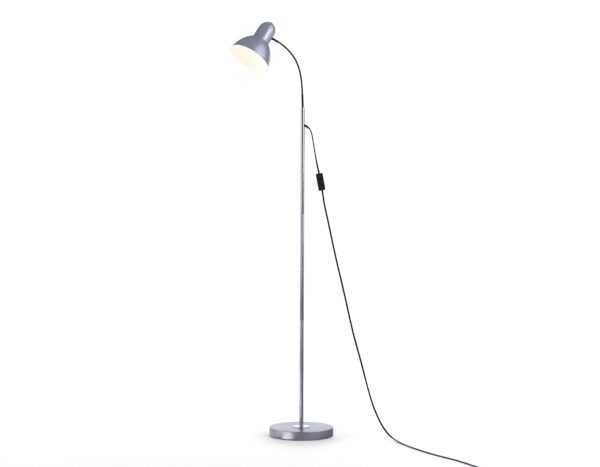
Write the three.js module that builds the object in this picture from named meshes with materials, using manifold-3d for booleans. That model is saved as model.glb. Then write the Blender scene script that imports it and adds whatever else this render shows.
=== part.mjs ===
// Gooseneck reading floor lamp, in millimetres, +Z up, origin at the centre of the base's underside.
// +X is the side that the cord leaves from, and the shade reaches out over -X.
import * as THREE from "three";
import { mergeVertices } from "three/addons/utils/BufferGeometryUtils.js";
import Module from "manifold-3d";

const wasm = await Module();
wasm.setup();

const degrees = Math.PI / 180;
const fullTurn = 2 * Math.PI;

// Shared fits
const seatGap = 0.3;
const cutOverrun = 2;
const weldDistance = 0.001;

// Base
const baseRadius = 112;
const baseHeight = 30;
const coverWall = 1.2;
const coverEdgeRadius = 1.5;
const coverLift = 1;
const padInset = 6;
const padThickness = 2;
const weightPlate = 10;
const weightHubRadius = 28;
const weightRimWidth = 7;
const boltRecessRadius = 13;
const boltRecessDepth = 10;
const collarRadius = 31;
const collarThickness = 1.5;

// Bolt that holds the pole to the base
const boltRadius = 4;
const boltHeadRadius = 7.5;
const boltHeadHeight = 6;
const washerRadius = 12;
const washerThickness = 1.6;
const footInsertLength = 22;
const footInsertDepth = 18;

// Pole in three equal sections
const poleRadius = 7;
const poleWall = 1;
const poleSection = 371.7;
const nippleLength = 40;
const nippleGroove = 0.8;
const bushLength = 18;

// Strain relief and lead at the upper section
const reliefBelowTop = 61.8;
const reliefTurn = -16 * degrees;
const reliefDroop = 35 * degrees;
const reliefShankRadius = 3.4;
const reliefShankLength = 3.4;
const reliefFlangeRadius = 4.8;
const reliefFlangeLength = 1.6;
const reliefTaperLength = 12.6;
const reliefTipRadius = 3.5;
const leadRadius = 1.4;
const leadRise = 30;

// Gooseneck: a straight foot, eight flexible zones and a straight tip
const neckRadius = 3;
const neckLean = 2 * degrees;
const neckBend = 58 * degrees;
const neckFootLength = 50;
const neckFootDepth = 13;
const neckZoneLength = 25.7;
const neckTipLength = 24.5;
const neckBendShares = [0.05, 0.064, 0.09, 0.145, 0.182, 0.153, 0.131, 0.185];
const ferruleRadius = 3.9;
const ferruleWall = 0.6;
const lowerFerruleLength = 45;
const neckThreadLength = 5;
const neckNutRadius = 7;
const neckNutThickness = 2.6;

// Socket cup and shade, heights along the head's axis from where the neck enters, crown up
const headTurn = 18.6 * degrees;
const cupRadius = 31;
const cupCrownDepth = 36.5;
const cupTop = 47.2;
const cupLength = 79.2;
const sheetWall = 1;
const collarHeight = 8;
const shoulderRadius = 34.5;
const shoulderDrop = 1.4;
const shadeRimRadius = 73.5;
const shadeHeight = 74.3;
const shadeArcRadius = 120.5;
const rimBead = 0.5;

// Lampholder
const stemRadius = 2.7;
const stemLength = 20;
const crownNutRadius = 4.2;
const crownNutHeight = 4.4;
const crownNutBoreShare = 0.6;
const holderRadius = 19.5;
const holderWall = 2;
const holderCapTop = 37;
const holderCapHeight = 29;
const holderSkirtLength = 39;
const holderShoulderWidth = 3;
const holderShoulderThickness = 2;
const shadeRingWidth = 6;
const shadeRingHeight = 4;
const ceramicThickness = 8;
const contactRadius = 3;
const contactThickness = 1.2;
const shellWall = 0.6;
const shellLength = 26;

// Bulb
const bulbCapRadius = 13.2;
const bulbCapLength = 24;
const bulbTipRadius = 4;
const bulbTipHeight = 2;
const bulbThreadDepth = 0.6;
const bulbThreadCount = 4;
const bulbRadius = 28;
const bulbLength = 74;
const bulbWall = 1;
const bulbNeckAngle = 55 * degrees;

// Inline switch, long side along the cord
const switchCentre = [63.3, -16, 887.8];
const switchTilt = 10.6 * degrees;
const switchLean = 3 * degrees;
const switchLength = 60;
const switchWidth = 24.5;
const switchThickness = 18;
const switchWall = 1.6;
const switchCornerRadius = 4;
const switchEdge = 1.5;
const rockerWidth = 10;
const rockerReach = 11.3;
const rockerProud = 1.6;
const rockerDip = 0.9;
const rockerPivotDepth = 3;
const rockerThickness = 2.2;
const rockerHubRadius = 2.6;
const rockerThrow = 8 * degrees;
const rockerPinRadius = 1;
const earThickness = 2;
const earReach = 3;
const blockLength = 32;
const blockWidth = 16;
const blockHeight = 6;
const towerRadius = 3.4;
const towerOffset = 22.5;
const screwRadius = 1.3;
const screwHeadRadius = 2.7;
const screwHeadHeight = 1.6;
const screwLength = 13;

// Flat two-core flex
const flexWidth = 6.2;
const flexThickness = 3.9;
const flexSides = 8;
const flexEaseTurn = 65 * degrees;
const flexEaseShare = 0.55;
const flexFloorTurn = -43 * degrees;
const flexFloorShares = [0.45, 0.62];
const flexTurnShare = 0.93;
const flexSteps = [18, 60];
const flexHeight = flexThickness / 2 + 0.2;

// Coil of the spare flex, in two layers, with its tie
const coilCentre = [571.5, -697];
const coilRadius = 36;
const coilPitch = 4.75;
const coilLayerRise = 6.95;
const coilEntryAngle = 26.7 * degrees;
const coilTurns = 3 + 116.7 / 360;
const coilClimbTurns = 0.5;
const coilStepsPerTurn = 24;
const coilSides = 6;
const coilLead = flexWidth;
const coilExitLength = 48;
const coilExitShares = [0.2, 0.4, 0.52, 0.62, 0.72, 0.84, 0.92, 1];
const coilExitRampShares = [0.4, 0.84];
const tieThickness = 0.7;
const tieWidth = 4;
const tieGap = 0.4;
const tieAngle = 150 * degrees;

// Two-pin plug
const plugWidth = 35.3;
const plugThickness = 13.7;
const plugLength = 36;
const plugNeckWidth = 14;
const plugNeckShare = 0.42;
const plugEdge = 1.6;
const plugReliefLength = 22;
const plugReliefRadius = 5.2;
const plugReliefTip = 3.8;
const plugPinRadius = 2;
const plugPinLength = 19;
const plugPinSpacing = 18.6;
const plugLift = 0.15;

const paint = {
  felt: material("#2b2b2e", 0.95, 0),
  iron: material("#3d3f42", 0.7, 0.6),
  brushedSteel: material("#a9aab4", 0.35, 1),
  polishedSteel: material("#dcdde2", 0.08, 1),
  zincSteel: material("#b4b4ae", 0.4, 1),
  silverPaint: material("#a7abb8", 0.35, 0.7),
  blackSleeve: material("#151517", 0.45, 0),
  blackPlastic: material("#1b1b1d", 0.5, 0),
  ceramic: material("#e9e6dd", 0.5, 0),
  brass: material("#c9a85a", 0.3, 1),
  nickel: material("#c8c8c4", 0.25, 1),
  opalGlass: material("#fff6e6", 0.3, 0),
};

function material(color, roughness, metalness) {
  return new THREE.MeshStandardMaterial({ color, roughness, metalness });
}

// Geometry helpers

// A solid of revolution about Z from an outline of [radius, height] points.
function turned(outline, sides) {
  const points = outline.map(([radius, height]) => new THREE.Vector2(radius, height));
  return new THREE.LatheGeometry(points, sides).rotateX(Math.PI / 2);
}

// A tube wall between two radii, from one height to another.
function ring(innerRadius, outerRadius, bottom, top, sides) {
  return turned(
    [
      [outerRadius, bottom],
      [outerRadius, top],
      [innerRadius, top],
      [innerRadius, bottom],
      [outerRadius, bottom],
    ],
    sides,
  );
}

function rod(radius, bottom, top, sides) {
  return turned(
    [
      [0, bottom],
      [radius, bottom],
      [radius, top],
      [0, top],
    ],
    sides,
  );
}

function block(low, high) {
  const size = high.map((value, axis) => value - low[axis]);
  return new THREE.BoxGeometry(...size).translate(
    ...high.map((value, axis) => (value + low[axis]) / 2),
  );
}

function solidOf(geometry) {
  const bare = new THREE.BufferGeometry();
  bare.setAttribute("position", geometry.getAttribute("position"));
  bare.setIndex(geometry.index);
  const merged = mergeVertices(bare, weldDistance);
  return new wasm.Manifold(
    new wasm.Mesh({
      numProp: 3,
      vertProperties: merged.attributes.position.array,
      triVerts: new Uint32Array(merged.index.array),
    }),
  );
}

function geometryOf(solid) {
  const mesh = solid.getMesh();
  const geometry = new THREE.BufferGeometry();
  geometry.setAttribute("position", new THREE.BufferAttribute(mesh.vertProperties, 3));
  geometry.setIndex(new THREE.BufferAttribute(mesh.triVerts, 1));
  return geometry.toNonIndexed();
}

function cut(geometry, ...tools) {
  const left = tools.reduce((solid, tool) => solid.subtract(solidOf(tool)), solidOf(geometry));
  return geometryOf(left);
}

function joined(geometry, ...others) {
  const whole = others.reduce((solid, other) => solid.add(solidOf(other)), solidOf(geometry));
  return geometryOf(whole);
}

function common(geometry, other) {
  return geometryOf(solidOf(geometry).intersect(solidOf(other)));
}

// Points of a circular arc in an outline, from one point to another, bulging to the left of the way.
function arcPoints([startX, startY], [endX, endY], radius, count) {
  const chord = Math.hypot(endX - startX, endY - startY);
  const height = Math.sqrt(radius * radius - (chord * chord) / 4);
  const centreX = (startX + endX) / 2 + (height * (endY - startY)) / chord;
  const centreY = (startY + endY) / 2 - (height * (endX - startX)) / chord;
  const from = Math.atan2(startY - centreY, startX - centreX);
  const sweep = 2 * Math.asin(chord / 2 / radius);
  return Array.from({ length: count + 1 }, (_, i) => {
    const angle = from - (sweep * i) / count;
    return [centreX + radius * Math.cos(angle), centreY + radius * Math.sin(angle)];
  });
}

// Points of a quarter or smaller part of an ellipse about a centre.
function ellipsePoints([centreX, centreY], radiusX, radiusY, from, to, count) {
  return Array.from({ length: count + 1 }, (_, i) => {
    const angle = from + ((to - from) * i) / count;
    return [centreX + radiusX * Math.cos(angle), centreY + radiusY * Math.sin(angle)];
  });
}

// A smooth curve that turns what is carried along it about its own line, by a function of the way's share.
class TwistedCurve extends THREE.CatmullRomCurve3 {
  constructor(points, twistAt) {
    super(points.map((point) => new THREE.Vector3(...point)));
    this.twistAt = twistAt;
  }

  computeFrenetFrames(segments, closed) {
    const frames = super.computeFrenetFrames(segments, closed);
    frames.tangents.forEach((tangent, i) => {
      const angle = this.twistAt(i / segments);
      frames.normals[i].applyAxisAngle(tangent, angle);
      frames.binormals[i].applyAxisAngle(tangent, angle);
    });
    return frames;
  }
}

// A tube of an oval section along a smooth curve through the points.
function tube(points, halfSizes, sides, steps, twistAt = () => 0) {
  const corners = ellipsePoints([0, 0], ...halfSizes, 0, fullTurn * (1 - 1 / sides), sides - 1);
  const section = new THREE.Shape(corners.map(([x, y]) => new THREE.Vector2(x, y)));
  const extrudePath = new TwistedCurve(points, twistAt);
  return new THREE.ExtrudeGeometry(section, { steps, bevelEnabled: false, extrudePath });
}

// A rounded rectangle about the origin, as a shape.
function roundedRectangle(width, height, radius) {
  const shape = new THREE.Shape();
  const corners = [
    [1, 1, 0],
    [-1, 1, 1],
    [-1, -1, 2],
    [1, -1, 3],
  ];
  corners.forEach(([signX, signY, quarter]) => {
    const x = signX * (width / 2 - radius);
    const y = signY * (height / 2 - radius);
    const from = (quarter * Math.PI) / 2;
    shape.absarc(x, y, radius, from, from + Math.PI / 2, false);
  });
  return shape;
}

// Bends a piece that stands along Z into an arc towards -X over the given length, and carries on straight.
function bentAlongArc(geometry, length, angle) {
  const positions = geometry.getAttribute("position");
  const curvature = angle / length;
  for (let i = 0; i < positions.count; i++) {
    const [x, y, z] = [positions.getX(i), positions.getY(i), positions.getZ(i)];
    const along = Math.min(Math.max(z, 0), length);
    const turn = curvature * along;
    const beyond = z - along;
    const centreX = -(1 - Math.cos(turn)) / curvature - beyond * Math.sin(turn);
    const centreZ = Math.sin(turn) / curvature + beyond * Math.cos(turn);
    positions.setXYZ(i, centreX + x * Math.cos(turn), y, centreZ + x * Math.sin(turn));
  }
  return geometry;
}

// A group with a place and a rotation, inside another group.
function groupIn(parent, position = [0, 0, 0], rotation = [0, 0, 0], order = "XYZ") {
  const group = new THREE.Group();
  group.position.set(...position);
  group.rotation.set(...rotation, order);
  parent.add(group);
  return group;
}

function addPiece(parent, name, geometry, finish) {
  const mesh = new THREE.Mesh(geometry, finish);
  mesh.name = name;
  parent.add(mesh);
  return mesh;
}

const lamp = new THREE.Group();

// Base: pad on the floor, cast weight on the pad, steel cover over both
const weightBottom = padThickness + seatGap;
const weightTop = baseHeight - coverWall - seatGap;
const coverInnerRadius = baseRadius - coverWall;
const boltBoreRadius = boltRadius + seatGap;
const collarBottom = baseHeight + seatGap;
const poleBottom = collarBottom + collarThickness + seatGap;
const discSides = 48;
const innerSides = 24;

function buildBase() {
  const base = groupIn(lamp);
  addPiece(base, "base_pad", rod(baseRadius - padInset, 0, padThickness, discSides), paint.felt);
  const weightRadius = coverInnerRadius - seatGap;
  const recessTop = weightBottom + boltRecessDepth;
  const weightOutline = [
    [boltRecessRadius, weightBottom],
    [weightRadius, weightBottom],
    [weightRadius, weightTop],
    [weightRadius - weightRimWidth, weightTop],
    [weightRadius - weightRimWidth, weightBottom + weightPlate],
    [weightHubRadius, weightBottom + weightPlate],
    [weightHubRadius, weightTop],
    [boltBoreRadius, weightTop],
    [boltBoreRadius, recessTop],
    [boltRecessRadius, recessTop],
    [boltRecessRadius, weightBottom],
  ];
  addPiece(base, "base_weight", turned(weightOutline, innerSides), paint.iron);
  const innerEdgeRadius = Math.max(coverEdgeRadius - coverWall, coverWall / 4);
  const coverOutline = [
    [coverInnerRadius, coverLift],
    [baseRadius, coverLift],
    ...ellipsePoints(
      [baseRadius - coverEdgeRadius, baseHeight - coverEdgeRadius],
      coverEdgeRadius,
      coverEdgeRadius,
      0,
      Math.PI / 2,
      2,
    ),
    [boltBoreRadius, baseHeight],
    [boltBoreRadius, baseHeight - coverWall],
    [coverInnerRadius - innerEdgeRadius, baseHeight - coverWall],
    [coverInnerRadius, baseHeight - coverWall - innerEdgeRadius],
    [coverInnerRadius, coverLift],
  ];
  addPiece(base, "base_cover", turned(coverOutline, discSides), paint.brushedSteel);
  const collar = ring(boltBoreRadius, collarRadius, collarBottom, collarBottom + collarThickness, discSides);
  addPiece(base, "pole_collar", collar, paint.polishedSteel);

  const washerTop = recessTop - seatGap;
  const washer = ring(boltBoreRadius, washerRadius, washerTop - washerThickness, washerTop, innerSides);
  addPiece(base, "base_washer", washer, paint.zincSteel);
  const headTop = washerTop - washerThickness - seatGap;
  const boltTop = poleBottom + seatGap + footInsertDepth;
  const bolt = joined(
    rod(boltHeadRadius, headTop - boltHeadHeight, headTop, 6),
    rod(boltRadius, headTop - boltHeadHeight / 2, boltTop, 24),
  );
  addPiece(base, "base_bolt", bolt, paint.zincSteel);
  const insertBottom = poleBottom + seatGap;
  const insert = ring(
    boltBoreRadius,
    poleRadius - poleWall - seatGap,
    insertBottom,
    insertBottom + footInsertLength,
    24,
  );
  addPiece(base, "pole_foot_insert", insert, paint.zincSteel);
}

// Pole: three tubes end to end, a nipple inside each joint and a bush at the top
const poleBoreRadius = poleRadius - poleWall;
const poleInsertRadius = poleBoreRadius - seatGap;
const poleSides = 24;
const sectionBottoms = [0, 1, 2].map((index) => poleBottom + index * (poleSection + seatGap));
const poleTop = sectionBottoms[2] + poleSection;
const reliefHeight = poleTop - reliefBelowTop;

// The relief's flange stands clear of the pole where it droops
const reliefFlangeAt = reliefFlangeRadius * Math.tan(reliefDroop) + seatGap / Math.cos(reliefDroop);
const reliefTipAt = reliefFlangeAt + reliefFlangeLength + reliefTaperLength;

// The strain relief's own frame: on the pole's axis, Z along the relief as it droops outwards.
function reliefFrame(parent) {
  const turn = groupIn(parent, [0, 0, reliefHeight], [0, 0, reliefTurn]);
  const wall = groupIn(turn, [poleRadius, 0, 0]);
  return groupIn(wall, [0, 0, 0], [0, Math.PI / 2 + reliefDroop, 0]);
}

function buildPole() {
  const pole = groupIn(lamp);
  const sections = sectionBottoms.map((bottom) =>
    ring(poleBoreRadius, poleRadius, bottom, bottom + poleSection, poleSides),
  );
  const relief = reliefFrame(pole);
  lamp.updateMatrixWorld(true);
  const hole = rod(
    reliefShankRadius + seatGap,
    -reliefShankLength - cutOverrun,
    reliefFlangeLength + cutOverrun,
    20,
  ).applyMatrix4(relief.matrixWorld);
  addPiece(pole, "pole_lower", sections[0], paint.brushedSteel);
  addPiece(pole, "pole_middle", sections[1], paint.brushedSteel);
  addPiece(pole, "pole_upper", cut(sections[2], hole), paint.brushedSteel);

  const nipples = ["joint_nipple_lower", "joint_nipple_upper"];
  nipples.forEach((name, index) => {
    const seam = sectionBottoms[index + 1] - seatGap / 2;
    const half = nippleLength / 2;
    const outline = [
      [0, seam - half],
      [poleInsertRadius - nippleGroove, seam - half],
      [poleInsertRadius, seam - half + nippleGroove],
      [poleInsertRadius, seam + half - nippleGroove],
      [poleInsertRadius - nippleGroove, seam + half],
      [0, seam + half],
    ];
    addPiece(pole, name, turned(outline, 24), paint.zincSteel);
  });

  const leaning = rod(
    ferruleRadius + seatGap,
    -bushLength - cutOverrun,
    cutOverrun,
    24,
  ).rotateY(-neckLean);
  const bush = rod(poleInsertRadius, -bushLength, 0, 32);
  const bushGeometry = cut(bush, leaning).translate(0, 0, poleTop);
  addPiece(pole, "pole_top_bush", bushGeometry, paint.zincSteel);

  const outline = [
    [0, -reliefShankLength],
    [reliefShankRadius, -reliefShankLength],
    [reliefShankRadius, reliefFlangeAt],
    [reliefFlangeRadius, reliefFlangeAt],
    [reliefFlangeRadius, reliefFlangeAt + reliefFlangeLength],
    [reliefTipRadius, reliefTipAt],
    [0, reliefTipAt],
  ];
  addPiece(relief, "cord_relief", turned(outline, 24), paint.blackPlastic);

  const start = new THREE.Vector3(0, 0, -reliefShankLength - seatGap);
  const inner = new THREE.Vector3(0, 0, -reliefShankLength - seatGap - leadRadius);
  const points = [start, inner].map((point) => point.applyMatrix4(relief.matrixWorld).toArray());
  const rise = [1 / 3, 2 / 3, 1].map((share) => [0, 0, reliefHeight + leadRise * share]);
  addPiece(
    pole,
    "inner_lead",
    tube([...points, ...rise], [leadRadius, leadRadius], 8, 14),
    paint.blackPlastic,
  );
}

// Gooseneck: each zone is a ball-ended link that carries the next one
const neckSides = 12;
const socketRadius = neckRadius + seatGap;
const socketRim = Math.sqrt(socketRadius ** 2 - neckRadius ** 2);
const ballPoints = (top) => ellipsePoints([0, top], neckRadius, neckRadius, 0, Math.PI / 2, 3);
const socketPoints = ellipsePoints(
  [0, 0],
  socketRadius,
  socketRadius,
  Math.PI / 2,
  Math.atan2(socketRim, neckRadius),
  3,
);

function sidePoints(bottom, top, count) {
  return Array.from({ length: count }, (_, i) => [
    neckRadius,
    bottom + ((top - bottom) * (i + 1)) / (count + 1),
  ]);
}

function ferrule(bottom, top) {
  return ring(ferruleRadius - ferruleWall, ferruleRadius, bottom, top, 20);
}

function buildNeck() {
  let frame = groupIn(lamp, [0, 0, poleTop], [0, -neckLean, 0]);
  addPiece(frame, "neck_lower_ferrule", ferrule(-neckFootDepth, lowerFerruleLength), paint.blackPlastic);
  const foot = turned(
    [[0, -neckFootDepth], [neckRadius, -neckFootDepth], ...ballPoints(neckFootLength)],
    neckSides,
  );
  addPiece(frame, "neck_foot", foot, paint.blackSleeve);
  frame = groupIn(frame, [0, 0, neckFootLength]);
  neckBendShares.forEach((share, index) => {
    const last = index === neckBendShares.length - 1;
    const bend = neckBend * share;
    const top = last ? neckZoneLength + neckTipLength : neckZoneLength;
    const end = last
      ? [
          [neckRadius, neckZoneLength],
          [neckRadius, top],
          [0, top],
        ]
      : ballPoints(top);
    const outline = [...socketPoints, ...sidePoints(socketRim, neckZoneLength, 3), ...end];
    const link = bentAlongArc(turned(outline, neckSides), neckZoneLength, bend);
    addPiece(frame, last ? "neck_tip" : "neck_link_" + (index + 1), link, paint.blackSleeve);
    const radius = neckZoneLength / bend;
    const sideways = -radius * (1 - Math.cos(bend));
    frame = groupIn(frame, [sideways, 0, radius * Math.sin(bend)], [0, -bend, 0]);
  });
  addPiece(frame, "neck_upper_ferrule", ferrule(0, neckTipLength + neckThreadLength), paint.blackPlastic);
  return frame;
}

// Head: cup, shade and lampholder about the head's own axis
const ferruleHoleRadius = ferruleRadius + seatGap;
const cupBottom = cupTop - cupLength;
const cupInnerRadius = cupRadius - sheetWall;
const cupCentre = cupTop - cupCrownDepth;
const headSides = 36;

function buildCup(head) {
  const boreRadius = stemRadius + seatGap;
  const crown = (radiusX, radiusY, from, to) =>
    ellipsePoints([0, cupCentre], radiusX, radiusY, from, to, 7);
  const outerStart = Math.acos(boreRadius / cupRadius);
  const innerStart = Math.acos(boreRadius / cupInnerRadius);
  const outline = [
    [cupRadius, cupBottom],
    ...crown(cupRadius, cupCrownDepth, 0, outerStart),
    ...crown(cupInnerRadius, cupCrownDepth - sheetWall, innerStart, 0),
    [cupInnerRadius, cupBottom],
    [cupRadius, cupBottom],
  ];
  const hole = rod(ferruleHoleRadius, cupInnerRadius - cutOverrun, cupRadius + cutOverrun, 20);
  const cup = cut(turned(outline, headSides), hole.rotateY(Math.PI / 2));
  addPiece(head, "socket_cup", cup, paint.silverPaint);

  const nutBottom = cupTop + seatGap;
  const nutBore = crownNutHeight * crownNutBoreShare;
  const nut = [
    [boreRadius, nutBottom],
    [crownNutRadius, nutBottom],
    ...ellipsePoints(
      [0, nutBottom + crownNutHeight / 2],
      crownNutRadius,
      crownNutHeight / 2,
      0,
      Math.PI / 2,
      4,
    ),
    [0, nutBottom + nutBore],
    [boreRadius, nutBottom + nutBore],
    [boreRadius, nutBottom],
  ];
  addPiece(head, "crown_nut", turned(nut, 20), paint.silverPaint);
  const stemTop = nutBottom + nutBore - seatGap;
  addPiece(head, "holder_stem", rod(stemRadius, stemTop - stemLength, stemTop, 20), paint.zincSteel);
}
// The shade's wall: a collar inside the cup, a shoulder under it and one arc to the rim.
function shadeSide(inset, count) {
  const collar = cupInnerRadius - seatGap - inset;
  const shoulder = [shoulderRadius - inset, cupBottom - shoulderDrop - inset / 2];
  const rim = [shadeRimRadius - inset, cupBottom - shoulderDrop - shadeHeight];
  return [
    [collar, cupBottom - seatGap - inset],
    ...arcPoints(shoulder, rim, shadeArcRadius - inset, count),
  ];
}

function buildShade(head) {
  const flangeTop = cupBottom + collarHeight;
  const collar = cupInnerRadius - seatGap;
  const holeRadius = holderRadius + seatGap;
  const [rimRadius, rimHeight] = shadeSide(0, 1).at(-1);
  const outline = [
    [holeRadius, flangeTop - sheetWall],
    [collar - sheetWall, flangeTop - sheetWall],
    ...shadeSide(sheetWall, 8),
    [rimRadius - sheetWall, rimHeight - rimBead],
    [rimRadius + rimBead, rimHeight - rimBead],
    [rimRadius + rimBead, rimHeight + rimBead],
    ...shadeSide(0, 8).reverse().slice(1),
    [collar, flangeTop],
    [holeRadius, flangeTop],
    [holeRadius, flangeTop - sheetWall],
  ];
  addPiece(head, "shade", turned(outline, headSides), paint.silverPaint);

  const ringTop = flangeTop - sheetWall - seatGap;
  const ringRadius = holderRadius + shadeRingWidth;
  const shadeRing = ring(holeRadius, ringRadius, ringTop - shadeRingHeight, ringTop, innerSides);
  addPiece(head, "shade_ring", shadeRing, paint.blackPlastic);
  return flangeTop;
}

function buildHolder(head, flangeTop) {
  const innerRadius = holderRadius - holderWall;
  const stemBore = stemRadius + seatGap;
  const bossRadius = stemBore + holderWall;
  const capBottom = holderCapTop - holderCapHeight;
  const shoulderTop = holderCapTop - holderCapHeight / 4;
  const capOutline = [
    [innerRadius, capBottom],
    [holderRadius, capBottom],
    [holderRadius, shoulderTop - holderWall],
    [holderRadius - holderWall, shoulderTop],
    [bossRadius + holderWall, holderCapTop - holderWall],
    [bossRadius, holderCapTop],
    [stemBore, holderCapTop],
    [stemBore, shoulderTop - holderWall],
    [innerRadius - holderWall, shoulderTop - holderWall],
    [innerRadius, shoulderTop - 2 * holderWall],
    [innerRadius, capBottom],
  ];
  addPiece(head, "holder_cap", turned(capOutline, innerSides), paint.blackPlastic);

  const skirtTop = capBottom - seatGap;
  const skirtBottom = skirtTop - holderSkirtLength;
  const shoulderBottom = flangeTop + seatGap;
  const shoulderRim = holderRadius + holderShoulderWidth;
  const skirtOutline = [
    [innerRadius, skirtBottom],
    [holderRadius, skirtBottom],
    [holderRadius, shoulderBottom],
    [shoulderRim, shoulderBottom],
    [shoulderRim, shoulderBottom + holderShoulderThickness],
    [holderRadius, shoulderBottom + holderShoulderThickness],
    [holderRadius, skirtTop],
    [innerRadius, skirtTop],
    [innerRadius, skirtBottom],
  ];
  addPiece(head, "holder_skirt", turned(skirtOutline, innerSides), paint.blackPlastic);

  const ceramicTop = shoulderTop - 2 * holderWall - seatGap;
  const ceramicBottom = ceramicTop - ceramicThickness;
  const ceramic = rod(innerRadius - seatGap, ceramicBottom, ceramicTop, 32);
  addPiece(head, "holder_ceramic", ceramic, paint.ceramic);
  const contactTop = ceramicBottom - seatGap;
  const contact = rod(contactRadius, contactTop - contactThickness, contactTop, 16);
  addPiece(head, "holder_contact", contact, paint.brass);
  const shellInner = bulbCapRadius + seatGap;
  const shell = ring(shellInner, shellInner + shellWall, contactTop - shellLength, contactTop, innerSides);
  addPiece(head, "holder_shell", shell, paint.brass);
  return contactTop - contactThickness;
}

function buildBulb(head, contactBottom) {
  const tip = contactBottom - seatGap;
  const capTop = tip - bulbTipHeight;
  const capBottom = capTop - bulbCapLength;
  const pitch = bulbCapLength / (bulbThreadCount + 1);
  const thread = Array.from({ length: bulbThreadCount }, (_, i) => {
    const ridge = capBottom + pitch * (i + 1);
    return [
      [bulbCapRadius, ridge - pitch / 4],
      [bulbCapRadius - bulbThreadDepth, ridge + pitch / 4],
    ];
  }).flat();
  const outline = [
    [0, capBottom],
    [bulbCapRadius, capBottom],
    ...thread,
    [bulbCapRadius - bulbThreadDepth, capTop - pitch / 4],
    [bulbTipRadius, capTop],
    [bulbTipRadius, tip],
    [0, tip],
  ];
  addPiece(head, "bulb_cap", turned(outline, innerSides), paint.nickel);

  const glassTop = capBottom - seatGap;
  const ballCentre = glassTop - bulbLength + bulbRadius;
  const ball = (radius, from, to) => ellipsePoints([0, ballCentre], radius, radius, from, to, 8);
  const outside = ball(bulbRadius, -Math.PI / 2, bulbNeckAngle);
  const inside = ball(bulbRadius - bulbWall, bulbNeckAngle, -Math.PI / 2);
  const mouth = [
    [bulbCapRadius, glassTop],
    [bulbCapRadius - bulbWall, glassTop],
  ];
  addPiece(head, "bulb_glass", turned([...outside, ...mouth, ...inside], innerSides), paint.opalGlass);
}

function buildHead(neckEnd) {
  const turn = groupIn(neckEnd, [0, 0, neckTipLength + cupRadius], [0, 0, headTurn]);
  const head = groupIn(turn, [0, 0, 0], [0, Math.PI / 2, 0]);
  buildCup(head);
  const flangeTop = buildShade(head);
  buildBulb(head, buildHolder(head, flangeTop));

  const nutReach = Math.sqrt(cupInnerRadius ** 2 - neckNutRadius ** 2) - seatGap;
  const nutBottom = nutReach - neckNutThickness;
  const bore = rod(ferruleHoleRadius, nutBottom - cutOverrun, nutReach + cutOverrun, 20);
  const nut = cut(rod(neckNutRadius, nutBottom, nutReach, 6), bore);
  addPiece(head, "neck_nut", nut.rotateY(Math.PI / 2), paint.zincSteel);
}

// Inline switch: two half shells, rocker on a pin, contact block and two screws
const switchCavityHalf = switchThickness / 2 - switchWall;
const rockerPivotY = -switchThickness / 2 + rockerPivotDepth;

// Turns an outline drawn in the Y-Z plane, extruded along X and centred, into place.
function acrossSwitch(shape, width) {
  const geometry = new THREE.ExtrudeGeometry(shape, { depth: width, bevelEnabled: false, curveSegments: 8 });
  geometry.translate(0, 0, -width / 2);
  return geometry.applyMatrix4(
    new THREE.Matrix4().makeBasis(
      new THREE.Vector3(0, 1, 0),
      new THREE.Vector3(0, 0, 1),
      new THREE.Vector3(1, 0, 0),
    ),
  );
}

function rodAlongY(radius, from, to, z, sides) {
  return rod(radius, from, to, sides).rotateX(-Math.PI / 2).translate(0, 0, z);
}

function switchOuter() {
  const shape = roundedRectangle(
    switchWidth - 2 * switchEdge,
    switchLength - 2 * switchEdge,
    switchCornerRadius - switchEdge,
  );
  const geometry = new THREE.ExtrudeGeometry(shape, {
    depth: switchThickness - 2 * switchEdge,
    bevelThickness: switchEdge,
    bevelSize: switchEdge,
    bevelSegments: 2,
    curveSegments: 3,
  });
  geometry.translate(0, 0, switchEdge - switchThickness / 2);
  return geometry.rotateX(Math.PI / 2);
}

function switchCavity() {
  const inner = 2 * switchWall;
  const radius = switchCornerRadius - switchWall;
  const shape = roundedRectangle(switchWidth - inner, switchLength - inner, radius);
  const depth = 2 * switchCavityHalf;
  const geometry = new THREE.ExtrudeGeometry(shape, { depth, bevelEnabled: false, curveSegments: 3 });
  return geometry.translate(0, 0, -depth / 2).rotateX(Math.PI / 2);
}

function switchHalf(from, to) {
  const reach = [switchWidth, 0, switchLength];
  const half = common(switchOuter(), block([-reach[0], from, -reach[2]], [reach[0], to, reach[2]]));
  return cut(half, switchCavity());
}

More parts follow.
